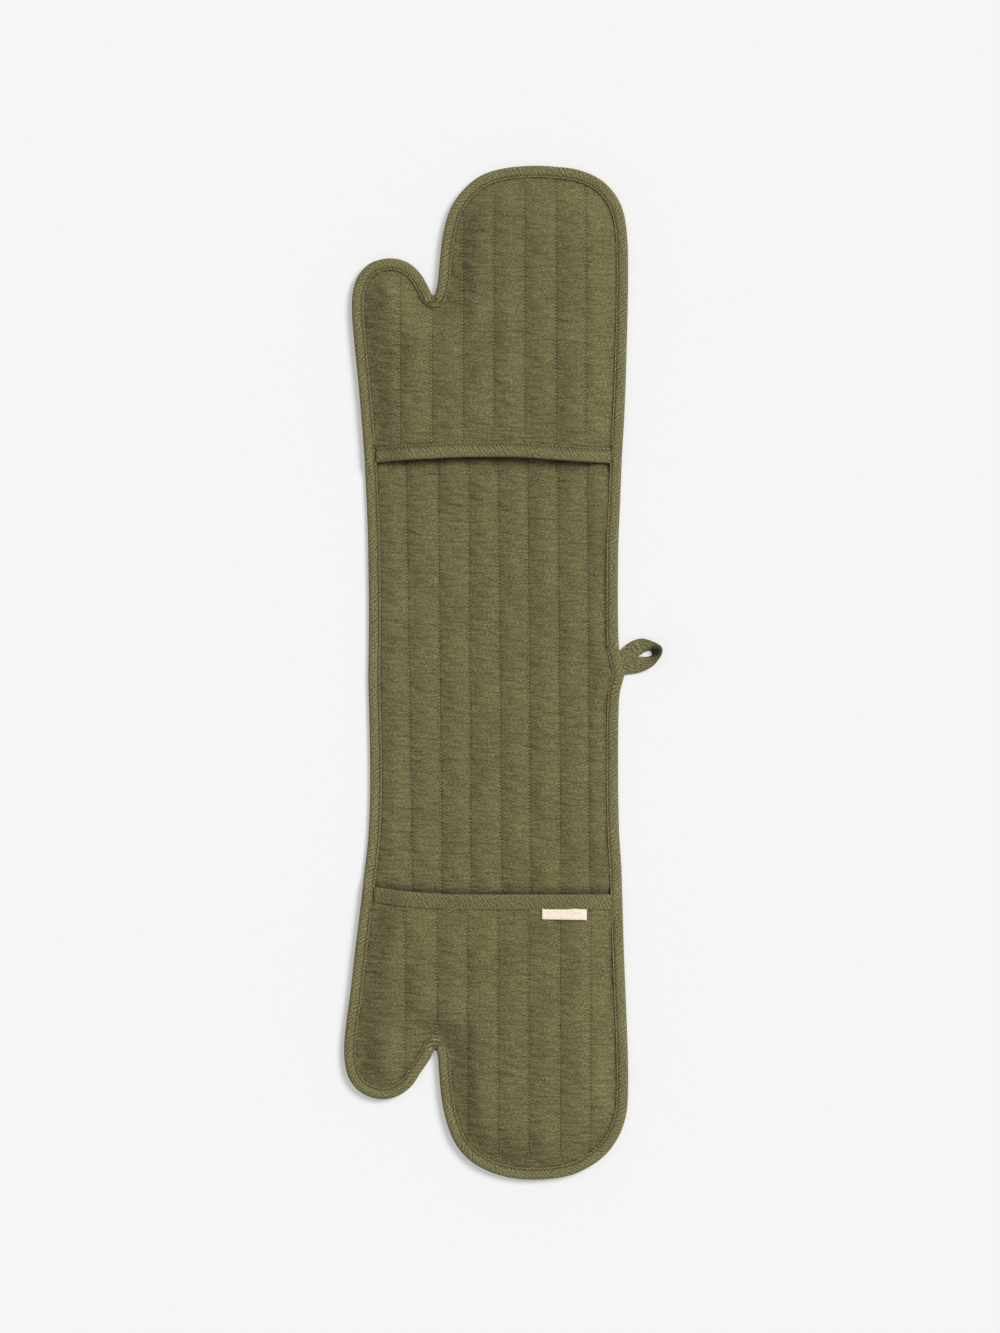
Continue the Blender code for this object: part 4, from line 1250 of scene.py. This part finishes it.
# Paper lit a little from behind: to the camera a third of its brightness is its own, so that
# the glove's shadow stays as light as in the photograph, and the glove itself is lit no
# differently
BACKLIGHT = 0.33
glow = add(tree, "Emission", {"Color": PAPER, "Strength": 1})
ray = add(tree, "LightPath")
share = add(tree, "Math", {1: BACKLIGHT}, {0: ray.outputs["Is Camera Ray"]}, operation="MULTIPLY")
mixed = add(tree, "MixShader", {}, {0: share.outputs[0], 1: matt.outputs[0], 2: glow.outputs[0]})
tree.links.new(mixed.outputs[0], tree.nodes["Material Output"].inputs["Surface"])
floor.data.materials.append(paper)
print("floor of", paper.name)

# %% Light
world = bpy.data.worlds.new("soft_studio")
bpy.context.scene.world = world
world.use_nodes = True
world.node_tree.nodes["Background"].inputs["Color"].default_value = (1, 1, 1, 1)
WORLD_LIGHT = 0.42
world.node_tree.nodes["Background"].inputs["Strength"].default_value = WORLD_LIGHT
lamp_data = bpy.data.lights.new("soft_key", "SUN")
lamp_data.angle = math.radians(25)
TO_LAMP = Vector((0.80, 0.55, 1.0)).normalized()
lamp_data.energy = (1 - WORLD_LIGHT) * math.pi / TO_LAMP.z
lamp = bpy.data.objects.new("soft_key", lamp_data)
lamp.rotation_mode = "QUATERNION"
lamp.rotation_quaternion = TO_LAMP.to_track_quat("Z", "Y")
bpy.context.collection.objects.link(lamp)
print("world", WORLD_LIGHT, "and lamp", round(lamp_data.energy, 2))

# %% Camera
HEIGHT = 8.0
# The scale is right at this height above the floor, in the middle of the cloth
CLOTH_LEVEL = 0.005
# The photograph is this many pixels high, and each one covers 0.85 mm
PHOTO_PIXELS = 1333
PIXEL = 0.00085
# The place on the floor under the middle of the photograph
PHOTO_MIDDLE = (-0.00296, 0.00524)
camera_data = bpy.data.cameras.new("camera")
camera_data.lens = camera_data.sensor_width * HEIGHT / (PHOTO_PIXELS * PIXEL)
camera_data.clip_end = 100
camera = bpy.data.objects.new("camera", camera_data)
camera.location = (*PHOTO_MIDDLE, HEIGHT + CLOTH_LEVEL)
bpy.context.collection.objects.link(camera)
bpy.context.scene.camera = camera
bpy.context.scene.view_settings.view_transform = "Standard"
print("camera", HEIGHT, "m up, with a lens of", round(camera_data.lens), "mm")
